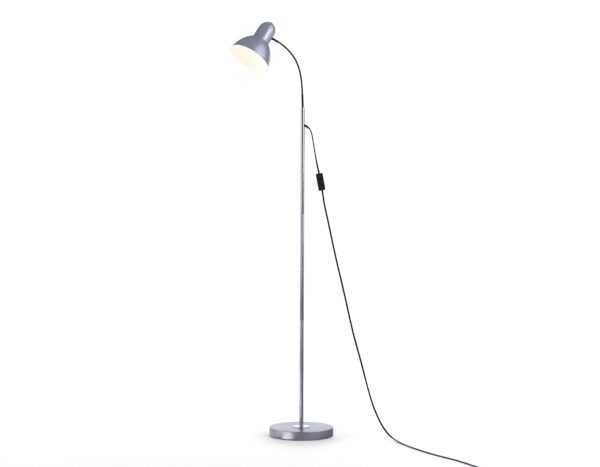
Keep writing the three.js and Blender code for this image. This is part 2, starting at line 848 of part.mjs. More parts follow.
function buildSwitch() {
  const frame = groupIn(lamp, switchCentre, [-switchLean, -switchTilt, 0], "YXZ");
  const frontFace = -switchThickness / 2;
  const backFace = -frontFace;
  const screwPlaces = [-towerOffset, towerOffset];

  const windowHalf = rockerReach + seatGap;
  const windowSide = rockerWidth / 2 + seatGap;
  const window = block(
    [-windowSide, frontFace - cutOverrun, -windowHalf],
    [windowSide, frontFace + switchWall + cutOverrun, windowHalf],
  );
  const earBottom = rockerPivotY + earReach;
  const ears = [-1, 1].map((side) => {
    const near = side * windowSide;
    const far = side * (windowSide + earThickness);
    return block(
      [Math.min(near, far), frontFace + switchWall - seatGap, -earReach],
      [Math.max(near, far), earBottom, earReach],
    );
  });
  const pinHalf = windowSide + earThickness - seatGap;
  const pinBore = rod(rockerPinRadius + seatGap, -switchWidth / 3, switchWidth / 3, 16);
  pinBore.rotateY(Math.PI / 2).translate(0, rockerPivotY, 0);
  const frontTowers = screwPlaces.map((z) =>
    rodAlongY(towerRadius, frontFace + switchWall / 2, -seatGap / 2, z, 16),
  );
  const screwTip = backFace - screwHeadHeight - switchWall / 4 - screwLength;
  const frontBores = screwPlaces.map((z) =>
    rodAlongY(screwRadius + seatGap, screwTip - seatGap, cutOverrun, z, 12),
  );
  const frontHalf = joined(cut(switchHalf(frontFace - cutOverrun, -seatGap / 2), window), ...ears);
  const front = cut(joined(frontHalf, ...frontTowers), pinBore, ...frontBores);
  addPiece(frame, "switch_front", front, paint.blackPlastic);

  const headSeat = backFace - screwHeadHeight - switchWall / 4;
  const backTowers = screwPlaces.map((z) =>
    rodAlongY(towerRadius, seatGap / 2, backFace - switchWall / 2, z, 16),
  );
  const backBores = screwPlaces.flatMap((z) => [
    rodAlongY(screwRadius + seatGap, -cutOverrun, backFace, z, 12),
    rodAlongY(screwHeadRadius + seatGap, headSeat - seatGap, backFace + cutOverrun, z, 16),
  ]);
  const backHalf = switchHalf(seatGap / 2, backFace + cutOverrun);
  addPiece(frame, "switch_back", cut(joined(backHalf, ...backTowers), ...backBores), paint.blackPlastic);

  screwPlaces.forEach((z, index) => {
    const screw = joined(
      rodAlongY(screwHeadRadius, headSeat, headSeat + screwHeadHeight, z, 16),
      rodAlongY(screwRadius, screwTip, headSeat + screwHeadHeight / 2, z, 12),
    );
    addPiece(frame, "switch_screw_" + (index + 1), screw, paint.zincSteel);
  });

  const blockBack = switchCavityHalf - seatGap;
  const contactBlock = block(
    [-blockWidth / 2, blockBack - blockHeight, -blockLength / 2],
    [blockWidth / 2, blockBack, blockLength / 2],
  );
  addPiece(frame, "switch_contact_block", contactBlock, paint.ceramic);

  const pin = rod(rockerPinRadius, -pinHalf, pinHalf, 16).rotateY(Math.PI / 2);
  addPiece(frame, "rocker_pin", pin.translate(0, rockerPivotY, 0), paint.zincSteel);
  const rockerFrame = groupIn(frame, [0, rockerPivotY, 0], [rockerThrow, 0, 0]);
  const bore = rod(rockerPinRadius + seatGap, -rockerWidth, rockerWidth, 16).rotateY(Math.PI / 2);
  const rocker = cut(acrossSwitch(rockerShape(), rockerWidth), bore);
  addPiece(rockerFrame, "switch_rocker", rocker, paint.blackPlastic);
}

// The rocker's side view about its pivot: a shallow V on top, round ends and a hub below.
function rockerShape() {
  const faceY = -rockerPivotDepth;
  const topAngle = Math.asin((rockerPivotDepth + rockerProud) / rockerReach);
  const lowAngle = Math.asin((rockerPivotDepth - rockerThickness) / rockerReach);
  const end = ellipsePoints([0, 0], rockerReach, rockerReach, topAngle, lowAngle, 3);
  const ends = [...end.map(([z, y]) => [-y, z]), ...end.reverse().map(([z, y]) => [-y, -z])];
  const right = ends.slice(0, 4);
  const left = ends.slice(4);
  const hub = ellipsePoints([0, 0], rockerHubRadius, rockerHubRadius, Math.PI / 3, -Math.PI / 3, 6);
  const points = [[faceY + rockerDip - rockerProud, 0], ...right, ...hub, ...left];
  return new THREE.Shape(points.map(([y, z]) => new THREE.Vector2(y, z)));
}

// Flex: from the relief down to the switch, from the switch over the floor to the coil, and the coil
const upperRoute = [
  [26.7, -7.4, 1068.6],
  [31.7, -8.5, 1055],
  [34.7, -9.3, 1040],
  [37.7, -10, 1022],
  [42.7, -11.2, 992],
  [48, -12.5, 963],
  [53.2, -13.6, 937],
];
const lowerRoute = [
  [74.5, -19.3, 822],
  [86, -22.6, 767.5],
  [98, -26.1, 712],
  [110, -29.5, 656.5],
  [122.6, -33.2, 601],
  [136, -37.1, 545.7],
  [149, -40.8, 490.4],
  [161.6, -44.5, 435],
  [174.2, -48.2, 380],
  [188.5, -52.3, 325],
  [204, -56.8, 270],
  [218.4, -61, 215],
  [233.3, -65.3, 160.4],
  [246, -69, 119],
  [262.6, -73.8, 78.8],
  [276, -77.6, 51.8],
  [286, -80.5, 36.5],
  [294.5, -83.5, 25],
  [303.5, -88.5, 16],
  [312.7, -98, 9],
  [321.8, -115, 5.2],
  [330.2, -139, 3],
  [338.5, -162.4, 2.4],
  [346.8, -186, flexHeight],
  [363.4, -226.8, flexHeight],
  [396.5, -299, flexHeight],
  [429.4, -360.2, flexHeight],
  [499.5, -470.9, flexHeight],
  [543.2, -564.2, flexHeight],
  [571, -616, 2.8],
];

const coilFloor = tieThickness + tieGap;
const coilHeight = coilFloor + flexWidth / 2;
const plugHeight = plugThickness / 2 + plugLift;

// Coil's centre line: in along the tangent, round clockwise with the radius closing and opening again,
// one layer up in the reversal, and out along the tangent down to the plug's height.
function coilRoute() {
  const tangentAt = (angle) => [Math.sin(angle), -Math.cos(angle)];
  const placeAt = (turns) => {
    const fromMiddle = turns - coilTurns / 2;
    const radius = coilRadius - coilPitch * (coilTurns / 2 - Math.abs(fromMiddle));
    const climb = THREE.MathUtils.smoothstep(fromMiddle, -coilClimbTurns / 2, coilClimbTurns / 2);
    const angle = coilEntryAngle - fullTurn * turns;
    return [
      coilCentre[0] + radius * Math.cos(angle),
      coilCentre[1] + radius * Math.sin(angle),
      coilHeight + coilLayerRise * climb,
    ];
  };
  const count = Math.round(coilTurns * coilStepsPerTurn);
  const turns = Array.from({ length: count + 1 }, (_, i) => placeAt((coilTurns * i) / count));
  const entry = tangentAt(coilEntryAngle);
  const exitAngle = coilEntryAngle - fullTurn * coilTurns;
  const exit = tangentAt(exitAngle);
  const topLayer = coilHeight + coilLayerRise;
  const straightBefore = [1, 1 / 2].map((share) => [
    turns[0][0] - entry[0] * coilLead * share,
    turns[0][1] - entry[1] * coilLead * share,
    coilHeight,
  ]);
  const last = turns.at(-1);
  const straightAfter = coilExitShares.map((share) => [
    last[0] + exit[0] * coilExitLength * share,
    last[1] + exit[1] * coilExitLength * share,
    topLayer + (plugHeight - topLayer) * THREE.MathUtils.smoothstep(share, ...coilExitRampShares),
  ]);
  return { points: [...straightBefore, ...turns, ...straightAfter], entry, exit, exitAngle };
}

// A point along a direction from a place.
function beyond(place, direction, distance) {
  return place.map((value, axis) => value + direction[axis] * distance);
}

function routeLength(points) {
  return new THREE.CatmullRomCurve3(points.map((point) => new THREE.Vector3(...point))).getLength();
}

function buildFlex() {
  lamp.updateMatrixWorld(true);
  const relief = lamp.getObjectByName("cord_relief").matrixWorld;
  const outOfRelief = new THREE.Vector3().setFromMatrixColumn(relief, 2).toArray();
  const tip = new THREE.Vector3(0, 0, reliefTipAt + seatGap).applyMatrix4(relief).toArray();
  const housing = lamp.getObjectByName("switch_front").matrixWorld;
  const alongSwitch = new THREE.Vector3().setFromMatrixColumn(housing, 2).toArray();
  const end = switchLength / 2 + seatGap;
  const above = beyond(switchCentre, alongSwitch, end);
  const below = beyond(switchCentre, alongSwitch, -end);
  const upper = [
    tip,
    beyond(tip, outOfRelief, flexWidth / 2),
    ...upperRoute,
    beyond(above, alongSwitch, flexWidth),
    above,
  ];
  const coil = coilRoute();
  const coilStart = coil.points[0];
  const toCoil = [...coil.entry, 0];
  const coilGate = beyond(coilStart, toCoil, -seatGap);
  const lower = [
    below,
    beyond(below, alongSwitch, -flexWidth),
    ...lowerRoute,
    beyond(coilGate, toCoil, -3 * flexWidth),
    beyond(coilGate, toCoil, -flexWidth),
    coilGate,
  ];
  const halfWide = flexWidth / 2;
  const halfThin = flexThickness / 2;
  const addFlex = (name, ...form) => addPiece(lamp, name, tube(...form), paint.blackPlastic);
  const { smoothstep } = THREE.MathUtils;
  const eased = (share) => flexEaseTurn * (1 - smoothstep(share, flexEaseShare, 1));
  addFlex("cord_upper", upper, [halfWide, halfThin], flexSides, flexSteps[0], eased);
  const onEdge = (share) =>
    flexFloorTurn * smoothstep(share, ...flexFloorShares) +
    (Math.PI / 2) * smoothstep(share, flexTurnShare, 1);
  addFlex("cord_lower", lower, [halfThin, halfWide], flexSides, flexSteps[1], onEdge);
  const coilLength = routeLength(coil.points);
  const coilSteps = Math.round((coilLength / (fullTurn * coilRadius)) * coilStepsPerTurn);
  addFlex("cord_coil", coil.points, [halfWide, halfThin], coilSides, coilSteps);
  const lengths = [routeLength(upper), routeLength(lower), coilLength];
  const total = lengths.reduce((sum, length) => sum + length, 0);
  console.log("flex lengths", lengths.map(Math.round).join(" + "), "=", Math.round(total), "mm");
  console.log("coil's least gap to itself", leastSelfGap(coil.points).toFixed(2), "mm");
  return { coil, coilEnd: coil.points.at(-1) };
}

// The coil's least gap to itself, along the line between the centres of two places half a turn or more apart.
function leastSelfGap(route) {
  const curve = new THREE.CatmullRomCurve3(route.map((point) => new THREE.Vector3(...point)));
  const samples = curve.getSpacedPoints(route.length * 3);
  const step = curve.getLength() / (samples.length - 1);
  const skip = Math.ceil((Math.PI * (coilRadius - (coilPitch * coilTurns) / 2)) / step);
  let least = Infinity;
  for (let i = 0; i < samples.length; i++) {
    for (let j = i + skip; j < samples.length; j++) {
      const across = Math.hypot(samples[i].x - samples[j].x, samples[i].y - samples[j].y);
      const up = samples[i].z - samples[j].z;
      const apart = Math.hypot(across, up);
      const sections = Math.hypot(across / flexThickness, up / flexWidth);
      least = Math.min(least, apart - apart / sections);
    }
  }
  return least;
}

// The tie: a flat loop around the coil's bundle
function buildTie() {
  const innerRadius = coilRadius - (coilPitch * coilTurns) / 2 - flexThickness / 2 - tieGap;
  const outerRadius = coilRadius + flexThickness / 2 + tieGap;
  const low = tieThickness;
  const high = coilHeight + coilLayerRise + flexWidth / 2 + tieGap;
  const width = outerRadius - innerRadius;
  const height = high - low;
  const corner = flexThickness / 2;
  const shape = roundedRectangle(
    width + 2 * tieThickness,
    height + 2 * tieThickness,
    corner + tieThickness,
  );
  const inside = roundedRectangle(width, height, corner);
  const options = { depth: tieWidth, bevelEnabled: false, curveSegments: 4 };
  const band = cut(
    new THREE.ExtrudeGeometry(shape, options),
    new THREE.ExtrudeGeometry(inside, { ...options, depth: tieWidth + 2 * cutOverrun }).translate(
      0,
      0,
      -cutOverrun,
    ),
  );
  band.translate(0, 0, -tieWidth / 2).rotateX(Math.PI / 2);
  band.translate((innerRadius + outerRadius) / 2, 0, (low + high) / 2);
  band.rotateZ(tieAngle).translate(coilCentre[0], coilCentre[1], 0);
  addPiece(lamp, "cord_tie", band, paint.blackPlastic);
}

// Plug: its own X axis runs from the relief towards the pins
function plugBody() {
  const half = plugWidth / 2;
  const neck = plugNeckWidth / 2;
  const edge = plugEdge;
  const outline = [
    [edge, -neck + edge],
    [plugLength * plugNeckShare, -half + edge],
    [plugLength - edge, -half + edge],
    [plugLength - edge, half - edge],
    [plugLength * plugNeckShare, half - edge],
    [edge, neck - edge],
  ];
  const shape = new THREE.Shape(outline.map(([x, y]) => new THREE.Vector2(x, y)));
  const geometry = new THREE.ExtrudeGeometry(shape, {
    depth: plugThickness - 2 * edge,
    bevelThickness: edge,
    bevelSize: edge,
    bevelSegments: 3,
  });
  return geometry.translate(0, 0, edge - plugThickness / 2);
}

function buildPlug({ coil, coilEnd }) {
  const start = beyond(coilEnd, [...coil.exit, 0], seatGap);
  const heading = Math.atan2(coil.exit[1], coil.exit[0]);
  const plug = groupIn(lamp, start, [0, 0, heading]);
  const relief = turned(
    [
      [0, 0],
      [plugReliefTip, 0],
      [plugReliefRadius, plugReliefLength],
      [0, plugReliefLength],
    ],
    20,
  );
  addPiece(plug, "plug_relief", relief.rotateY(Math.PI / 2), paint.blackPlastic);
  const bodyStart = plugReliefLength + seatGap;
  addPiece(plug, "plug_body", plugBody().translate(bodyStart, 0, 0), paint.blackPlastic);
  const pinStart = bodyStart + plugLength + seatGap;
  [-1, 1].forEach((side, index) => {
    const tip = ellipsePoints(
      [0, plugPinLength - plugPinRadius],
      plugPinRadius,
      plugPinRadius,
      0,
      Math.PI / 2,
      3,
    );
    const pin = turned([[0, 0], [plugPinRadius, 0], ...tip], 16).rotateY(Math.PI / 2);
    pin.translate(pinStart, (side * plugPinSpacing) / 2, 0);
    addPiece(plug, "plug_pin_" + (index + 1), pin, paint.nickel);
  });
}

buildBase();
buildPole();
buildHead(buildNeck());
buildSwitch();
buildPlug(buildFlex());
buildTie();

export default lamp;
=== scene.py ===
import math

import bpy
import numpy as np
from mathutils import Matrix, Vector


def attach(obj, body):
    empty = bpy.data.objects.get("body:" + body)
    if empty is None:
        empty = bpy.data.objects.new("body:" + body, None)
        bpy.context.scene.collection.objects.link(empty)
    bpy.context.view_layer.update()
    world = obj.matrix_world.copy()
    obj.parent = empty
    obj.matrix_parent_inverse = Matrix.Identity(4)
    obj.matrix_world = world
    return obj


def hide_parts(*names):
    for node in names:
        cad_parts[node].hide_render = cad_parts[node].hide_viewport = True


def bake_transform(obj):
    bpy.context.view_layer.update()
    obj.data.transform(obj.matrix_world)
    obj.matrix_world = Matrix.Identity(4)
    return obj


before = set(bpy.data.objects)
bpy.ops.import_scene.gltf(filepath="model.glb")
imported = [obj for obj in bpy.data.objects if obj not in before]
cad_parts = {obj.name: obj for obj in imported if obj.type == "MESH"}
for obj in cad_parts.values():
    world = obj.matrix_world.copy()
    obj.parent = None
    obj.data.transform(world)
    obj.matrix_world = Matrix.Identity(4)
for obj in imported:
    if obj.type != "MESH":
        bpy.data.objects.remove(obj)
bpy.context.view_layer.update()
scene = bpy.context.scene

MILLIMETRE = 0.001
WORLD = Matrix.Identity(4)
CREASE = math.radians(35)


def turn(degrees, axis):
    return Matrix.Rotation(math.radians(degrees), 4, axis)


def move(x, y, z):
    return Matrix.Translation((x, y, z))


def added(name, data):
    """A new object in the scene."""
    made = bpy.data.objects.new(name, data)
    scene.collection.objects.link(made)
    return made


# Camera: the photograph's view, 600 by 467

PHOTO_WIDTH = 600
FOCAL_PIXELS = 1287
SENSOR_WIDTH = 36
CAMERA_AT = (-0.0077, -4.5, 0.79)
CAMERA_DIP = 1.05
CAMERA_ROLL = 0.246

view = bpy.data.cameras.new("photo_view")
view.sensor_width = SENSOR_WIDTH
view.lens = SENSOR_WIDTH * FOCAL_PIXELS / PHOTO_WIDTH
view.clip_end = 100
camera = added("photo_view", view)
camera.matrix_world = move(*CAMERA_AT) @ turn(90 - CAMERA_DIP, "X") @ turn(CAMERA_ROLL, "Z")
scene.camera = camera


# Finishes: colours are linear; places and the plug pin's sleeve are in metres, the winding in millimetres

BULB_STRENGTH = 0.5
PIN_SLEEVE_END = 0.455
WINDING_PITCH = 2.1
DEEP_BLACK = (0.002, 0.002, 0.0025)


class Tone:
    """A value that changes over a surface. Sums and products of tones add Math nodes to their finish."""

    def __init__(self, finish, socket):
        self.finish = finish
        self.socket = socket

    def computed(self, operation, *values):
        made = self.finish.node("ShaderNodeMath", {"operation": operation}, dict(enumerate(values)))
        return made["Value"]

    def __add__(self, other):
        return self.computed("ADD", self, other)

    __radd__ = __add__

    def __sub__(self, other):
        return self.computed("SUBTRACT", self, other)

    def __rsub__(self, other):
        return self.computed("SUBTRACT", other, self)

    def __mul__(self, other):
        return self.computed("MULTIPLY", self, other)

    __rmul__ = __mul__

    def __truediv__(self, other):
        return self.computed("DIVIDE", self, other)

    def __rtruediv__(self, other):
        return self.computed("DIVIDE", other, self)

    def __pow__(self, other):
        return self.computed("POWER", self, other)

    def sine(self):
        return self.computed("SINE", self)

    def between(self, low, high):
        """0 below low, 1 above high and a smooth step between them."""
        span = {"From Min": low, "From Max": high, "Value": self}
        return self.finish.node("ShaderNodeMapRange", {"interpolation_type": "SMOOTHSTEP"}, span)["Result"]


class Finish:
    """A procedural finish: one Principled shader, fed by nodes on Object coordinates or a UV map."""

    def __init__(self, name, roughness, metallic=0.0, **constants):
        self.material = bpy.data.materials.new(name)
        self.material.use_nodes = True
        self.tree = self.material.node_tree
        self.shader = next(n for n in self.tree.nodes if n.type == "BSDF_PRINCIPLED")
        self.shader.inputs["Roughness"].default_value = roughness
        self.shader.inputs["Metallic"].default_value = metallic
        for socket, value in constants.items():
            self.shader.inputs[socket.replace("_", " ")].default_value = value
        self.place = self.node("ShaderNodeTexCoord")["Object"]

    def node(self, kind, settings=None, inputs=None):
        """Adds a node: its settings first, then each input's value or link. Returns its outputs by name."""
        made = self.tree.nodes.new(kind)
        for key, value in (settings or {}).items():
            setattr(made, key, value)
        for key, value in (inputs or {}).items():
            by_name = [s for s in made.inputs if key in (s.identifier, s.name)]
            socket = made.inputs[key] if isinstance(key, int) else by_name[0]
            if isinstance(value, Tone):
                self.tree.links.new(value.socket, socket)
            else:
                socket.default_value = value
        outputs = {s.name: Tone(self, s) for s in made.outputs}
        outputs.update({s.identifier: Tone(self, s) for s in made.outputs})
        return outputs

    def split(self, vector):
        parts = self.node("ShaderNodeSeparateXYZ", None, {"Vector": vector})
        return parts["X"], parts["Y"], parts["Z"]

    def surface_map(self):
        """U and V of the piece's own map: turns round the section and millimetres along the line."""
        return self.split(self.node("ShaderNodeUVMap", {"uv_map": "surface"})["UV"])[:2]

    def vector(self, x, y, z):
        return self.node("ShaderNodeCombineXYZ", None, {"X": x, "Y": y, "Z": z})["Vector"]

    def noise(self, scale, detail, roughness=0.5, distortion=0.0, vector=None):
        """Noise from 0 to 1, on Object coordinates unless another vector is given."""
        shape = {"Scale": scale, "Detail": detail, "Roughness": roughness, "Distortion": distortion}
        return self.node("ShaderNodeTexNoise", None, {"Vector": vector or self.place, **shape})["Fac"]

    def mixed(self, share, first, second):
        """A colour between two, by a tone from 0 to 1."""
        colours = [(*c, 1) if isinstance(c, tuple) else c for c in (first, second)]
        inputs = {"Factor_Float": share, "A_Color": colours[0], "B_Color": colours[1]}
        return self.node("ShaderNodeMix", {"data_type": "RGBA"}, inputs)["Result_Color"]

    def feed(self, socket, tone):
        self.tree.links.new(tone.socket, self.shader.inputs[socket])

    def colour(self, share, first, second):
        """Feeds such a mix to the base colour."""
        self.feed("Base Color", self.mixed(share, first, second))

    def relief(self, height, depth, strength):
        """Bumps of a depth in metres, from a height between 0 and 1."""
        inputs = {"Height": height, "Distance": depth, "Strength": strength}
        self.feed("Normal", self.node("ShaderNodeBump", None, inputs)["Normal"])


def brushed_steel(name, light, dark, roughness, lines, stretch, unevenness=0.1, relief=0.3):
    """Steel ground on a lathe: fine lines round the upright axis, so many to the metre, which are noise of
    radius and height drawn out along the angle, and faint clouds. The highlight stretches across them."""
    steel = Finish(name, roughness, 1.0, Anisotropic=stretch, Anisotropic_Rotation=0.25)
    x, y, z = steel.split(steel.place)
    radius = (x * x + y * y) ** 0.5
    angle = y.computed("ARCTAN2", y, x)
    ground = steel.noise(1, 4, 0.6, vector=steel.vector(radius * lines, z * lines, angle * 3))
    clouds = steel.noise(14, 3)
    steel.colour(ground * 0.7 + clouds * 0.3, dark, light)
    steel.feed("Roughness", (ground * 1.4 + clouds * 0.6 - 1) * unevenness + roughness)
    steel.relief(ground, 0.000004, relief)
    return steel.material


def plain_metal(name, colour, roughness, grain):
    """Plated or polished metal: a faint mottled grain in its colour and roughness."""
    metal = Finish(name, roughness, 1.0)
    mottle = metal.noise(grain, 4, 0.6)
    darker = tuple(c * 0.8 for c in colour)
    metal.colour(mottle, darker, colour)
    metal.feed("Roughness", (mottle - 0.5) * 0.2 + roughness)
    metal.relief(mottle, 0.00001, 0.4)
    return metal.material


def silver_paint():
    """Sprayed silver paint: bright flakes in grey lacquer, and the slight unevenness of a sprayed coat."""
    paint = Finish("silver_paint", 0.34, 0.75)
    flakes = paint.noise(2600, 2, 0.7)
    coat = paint.noise(45, 3)
    paint.colour(flakes.between(0.3, 0.75), (0.44, 0.465, 0.56), (0.53, 0.56, 0.67))
    paint.feed("Roughness", (flakes - 0.5) * 0.16 + (coat - 0.5) * 0.08 + 0.34)
    paint.relief(flakes * 0.3 + coat * 0.7, 0.00001, 0.25)
    return paint.material


def lining_with_painted_glow():
    """White enamel inside the shade, a touch warmer where the coat is thin. It glows with painted light,
    which stands in for the lit bulb's light falling on the enamel.
    """
    enamel = Finish("shade_lining_painted_glow", 0.5, Emission_Strength=0.56)
    coat = enamel.noise(60, 3)
    enamel.colour(coat, (0.54, 0.53, 0.51), (0.57, 0.56, 0.545))
    enamel.feed("Roughness", (coat - 0.5) * 0.15 + 0.4)
    enamel.feed("Emission Color", enamel.mixed(coat, (1, 0.915, 0.8), (1, 0.925, 0.82)))
    return enamel.material


def moulded(name, colour, roughness, grain, depth):
    """Moulded plastic or rubber: a fine sparked grain, with slight wear in the gloss."""
    plastic = Finish(name, roughness, Specular_IOR_Level=0.3)
    sparks = plastic.noise(grain, 3, 0.6)
    wear = plastic.noise(70, 3)
    lighter = tuple(c * 1.5 + 0.004 for c in colour)
    plastic.colour(sparks * 0.5 + wear * 0.5, colour, lighter)
    plastic.feed("Roughness", (sparks - 0.5) * 0.2 + (wear - 0.5) * 0.2 + roughness)
    plastic.relief(sparks, depth, 0.5)
    return plastic.material


def neck_sleeve():
    """Black sleeve over the wound neck: the windings show through as soft slanting ribs, the sine of length
    over pitch plus share of a turn."""
    sleeve = Finish("neck_sleeve", 0.42, Specular_IOR_Level=0.12)
    u, v = sleeve.surface_map()
    ribs = ((v / WINDING_PITCH + u) * (2 * math.pi)).sine() * 0.5 + 0.5
    grain = sleeve.noise(900, 3)
    # The colour is darker in the ribs' grooves and lighter on their crests, mixed with a random grain:
    # painted shade in the grooves.
    sleeve.colour(ribs * 0.5 + grain * 0.5, DEEP_BLACK, (0.006, 0.006, 0.007))
    sleeve.feed("Roughness", (grain - 0.5) * 0.25 + ribs * 0.05 + 0.48)
    sleeve.relief(ribs * 0.8 + grain * 0.2, 0.00018, 0.8)
    return sleeve.material


def cord_sheath():
    """Soft black sheath of the flex: faint drawing lines along it, and a slightly uneven gloss."""
    sheath = Finish("cord_sheath", 0.4, Specular_IOR_Level=0.12)
    u, v = sheath.surface_map()
    drawn = sheath.noise(1, 3, vector=sheath.vector(u * 24, v * 0.02, 0))
    grain = sheath.noise(500, 3)
    sheath.colour(drawn * 0.5 + grain * 0.5, DEEP_BLACK, (0.007, 0.007, 0.008))
    sheath.feed("Roughness", (drawn - 0.5) * 0.2 + (grain - 0.5) * 0.1 + 0.5)
    sheath.relief(drawn * 0.6 + grain * 0.4, 0.00006, 0.6)
    return sheath.material


def felt():
    """Dark needle felt under the base: short fibres lying every way."""
    cloth = Finish("floor_pad", 0.95, Sheen_Weight=0.3)
    fibres = cloth.noise(1400, 4, 0.7, 1.5)
    tufts = cloth.noise(160, 3)
    cloth.colour(fibres * 0.7 + tufts * 0.3, (0.01, 0.01, 0.012), (0.05, 0.05, 0.055))
    cloth.relief(fibres, 0.0003, 0.8)
    return cloth.material


def cast_iron():
    """Cast iron as it comes from sand: coarse dark grain with a brown bloom."""
    iron = Finish("cast_weight", 0.75, 0.6)
    grain = iron.noise(380, 5, 0.6)
    bloom = iron.noise(25, 3)
    grey = iron.mixed(grain, (0.025, 0.026, 0.028), (0.1, 0.1, 0.105))
    iron.colour(bloom.between(0.55, 0.8), grey, (0.09, 0.05, 0.03))
    iron.feed("Roughness", grain * 0.3 + 0.55)
    iron.relief(grain, 0.0003, 0.7)
    return iron.material


def lit_glass():
    """Opal glass of a lit bulb: warm white light through a faint cloudiness."""
    glass = Finish("opal_glass", 0.25, Emission_Strength=BULB_STRENGTH)
    cloud = glass.noise(55, 3)
    glass.colour(cloud, (0.86, 0.83, 0.78), (0.92, 0.9, 0.86))
    glass.feed("Emission Color", glass.mixed(cloud, (1, 0.88, 0.72), (1, 0.92, 0.8)))
    return glass.material


def glazed_ceramic():
    """Cream ceramic: fine specks under a glaze."""
    ceramic = Finish("ceramic", 0.3)
    speck = ceramic.noise(500, 4)
    ceramic.colour(speck, (0.72, 0.7, 0.64), (0.82, 0.81, 0.77))
    ceramic.feed("Roughness", speck * 0.2 + 0.2)
    return ceramic.material


def sleeved_pin():
    """A nickel plug pin whose half next to the plug, at larger X, is in a black sleeve."""
    pin = Finish("pin_metal", 0.3)
    x = pin.split(pin.place)[0]
    sleeve = x.between(PIN_SLEEVE_END - 0.0001, PIN_SLEEVE_END + 0.0001)
    mottle = pin.noise(700, 3)
    metal = pin.mixed(mottle, (0.5, 0.49, 0.46), (0.68, 0.67, 0.64))
    pin.colour(sleeve, metal, (0.015, 0.015, 0.016))
    pin.feed("Metallic", 1 - sleeve)
    pin.feed("Roughness", mottle * 0.15 + sleeve * 0.2 + 0.15)
    return pin.material


FINISHES = {
    "floor_pad": felt(),
    "cast_weight": cast_iron(),
    "base_steel": brushed_steel(
        "brushed_steel", (0.5, 0.495, 0.56), (0.385, 0.385, 0.45), 0.37, lines=320, stretch=0.5
    ),
    # The base's top is the same steel sheet as its side, but gets its own darker, bluer copy of the steel:
    # painted shade for how light falls on the top.
    "base_top_painted_shade": brushed_steel(
        "base_top_painted_shade_steel", (0.385, 0.397, 0.515), (0.335, 0.347, 0.455), 0.3, lines=260, stretch=0.1
    ),
    "pole_steel": brushed_steel(
        "pole_steel", (0.43, 0.43, 0.485), (0.41, 0.41, 0.46), 0.18, 500, 0.5, unevenness=0.02, relief=0.05
    ),
    "polished_steel": plain_metal("polished_steel", (0.65, 0.67, 0.8), 0.18, 90),
    "zinc_steel": plain_metal("zinc_steel", (0.6, 0.6, 0.57), 0.35, 420),
    "brass": plain_metal("brass", (0.72, 0.52, 0.24), 0.3, 420),
    "bulb_metal": plain_metal("bulb_metal", (0.62, 0.62, 0.6), 0.28, 420),
    "silver_paint": silver_paint(),
    "shade_lining_painted_glow": lining_with_painted_glow(),
    "neck_sleeve": neck_sleeve(),
    "black_plastic": moulded("black_plastic", (0.006, 0.006, 0.007), 0.46, 1500, 0.00006),
    "rocker_plastic": moulded("rocker_plastic", (0.009, 0.009, 0.01), 0.34, 1500, 0.00003),
    "cord_sheath": cord_sheath(),
    "ceramic": glazed_ceramic(),
    "opal_glass": lit_glass(),
    "pin_metal": sleeved_pin(),
}


# Surfaces

NEARLY_HALF = 0.48


def grid_faces(points, looped):
    """Quads over a grid of points, from row to row and round each row, then the end faces unless looped.
    The points of a row that all meet count as one, a pole. Also returns each quad's row and column."""
    rows, columns = points.shape[:2]
    index = np.arange(rows * columns).reshape(rows, columns)
    poles = np.ptp(points, axis=1).max(axis=1) < 1e-6
    index[poles] = index[poles][:, :1]
    rim = np.vstack([index, index[:1]]) if looped else index
    lattice = np.hstack([rim, rim[:, :1]])
    quads = np.stack([lattice[:-1, :-1], lattice[:-1, 1:], lattice[1:, 1:], lattice[1:, :-1]], -1)
    row_of = np.repeat(np.arange(len(quads)), columns)
    column_of = np.tile(np.arange(columns), len(quads))
    faces = [[int(v) for k, v in enumerate(face) if v != face[k - 1]] for face in quads.reshape(-1, 4)]
    if not looped:
        faces += [index[end].tolist() for end in (0, -1) if not poles[end]]
    return faces, row_of, column_of


def lay_uv(mesh, uv, row_of, column_of):
    """The UV map "surface": U from the first list by a corner's column, V from the second by its row, and 0
    on the end faces."""
    steps = np.array([[0, 0], [1, 0], [1, 1], [0, 1]])
    spots = np.stack([column_of, row_of], -1)[:, None] + steps
    values = np.stack([uv[0][spots[..., 0]], uv[1][spots[..., 1]]], -1).reshape(-1, 2)
    loops = np.zeros((len(mesh.loops), 2), np.float32)
    loops[: len(values)] = values
    mesh.uv_layers.new(name="surface").data.foreach_set("uv", loops.ravel())


def surface(name, points, finish, place=WORLD, looped=False, uv=None, lining=None):
    """A closed skin over a grid of points in millimetres: rows follow an outline and columns go round it.
    The last column joins the first. The last row joins the first where looped; otherwise an end row whose
    points all meet becomes a pole, and any other end row is filled flat. Rows in the span lining take the
    second finish."""
    faces, row_of, column_of = grid_faces(points, looped)
    used, numbers = np.unique(np.concatenate(faces), return_inverse=True)
    ends = np.cumsum([len(face) for face in faces])
    faces = [face.tolist() for face in np.split(numbers, ends[:-1])]
    turnout = np.array(place)
    solid = (points.reshape(-1, 3)[used] @ turnout[:3, :3].T + turnout[:3, 3]) * MILLIMETRE
    mesh = bpy.data.meshes.new(name)
    mesh.from_pydata(solid.tolist(), [], faces)
    for each in [finish] if isinstance(finish, str) else finish:
        mesh.materials.append(FINISHES[each])
    if lining is not None:
        inside = np.zeros(len(faces), int)
        inside[: len(row_of)] = (row_of >= lining[0]) & (row_of < lining[1])
        mesh.polygons.foreach_set("material_index", inside)
    if uv is not None:
        lay_uv(mesh, uv, row_of, column_of)
    mesh.update()
    corners_of = np.zeros(len(mesh.loop_triangles) * 3, int)
    mesh.loop_triangles.foreach_get("vertices", corners_of)
    a, b, c = (solid[corners_of.reshape(-1, 3)[:, k]] for k in range(3))
    if (a * np.cross(b, c)).sum() < 0:
        mesh.flip_normals()
    mesh.shade_smooth()
    mesh.set_sharp_from_angle(angle=CREASE)
    return added(name, mesh)


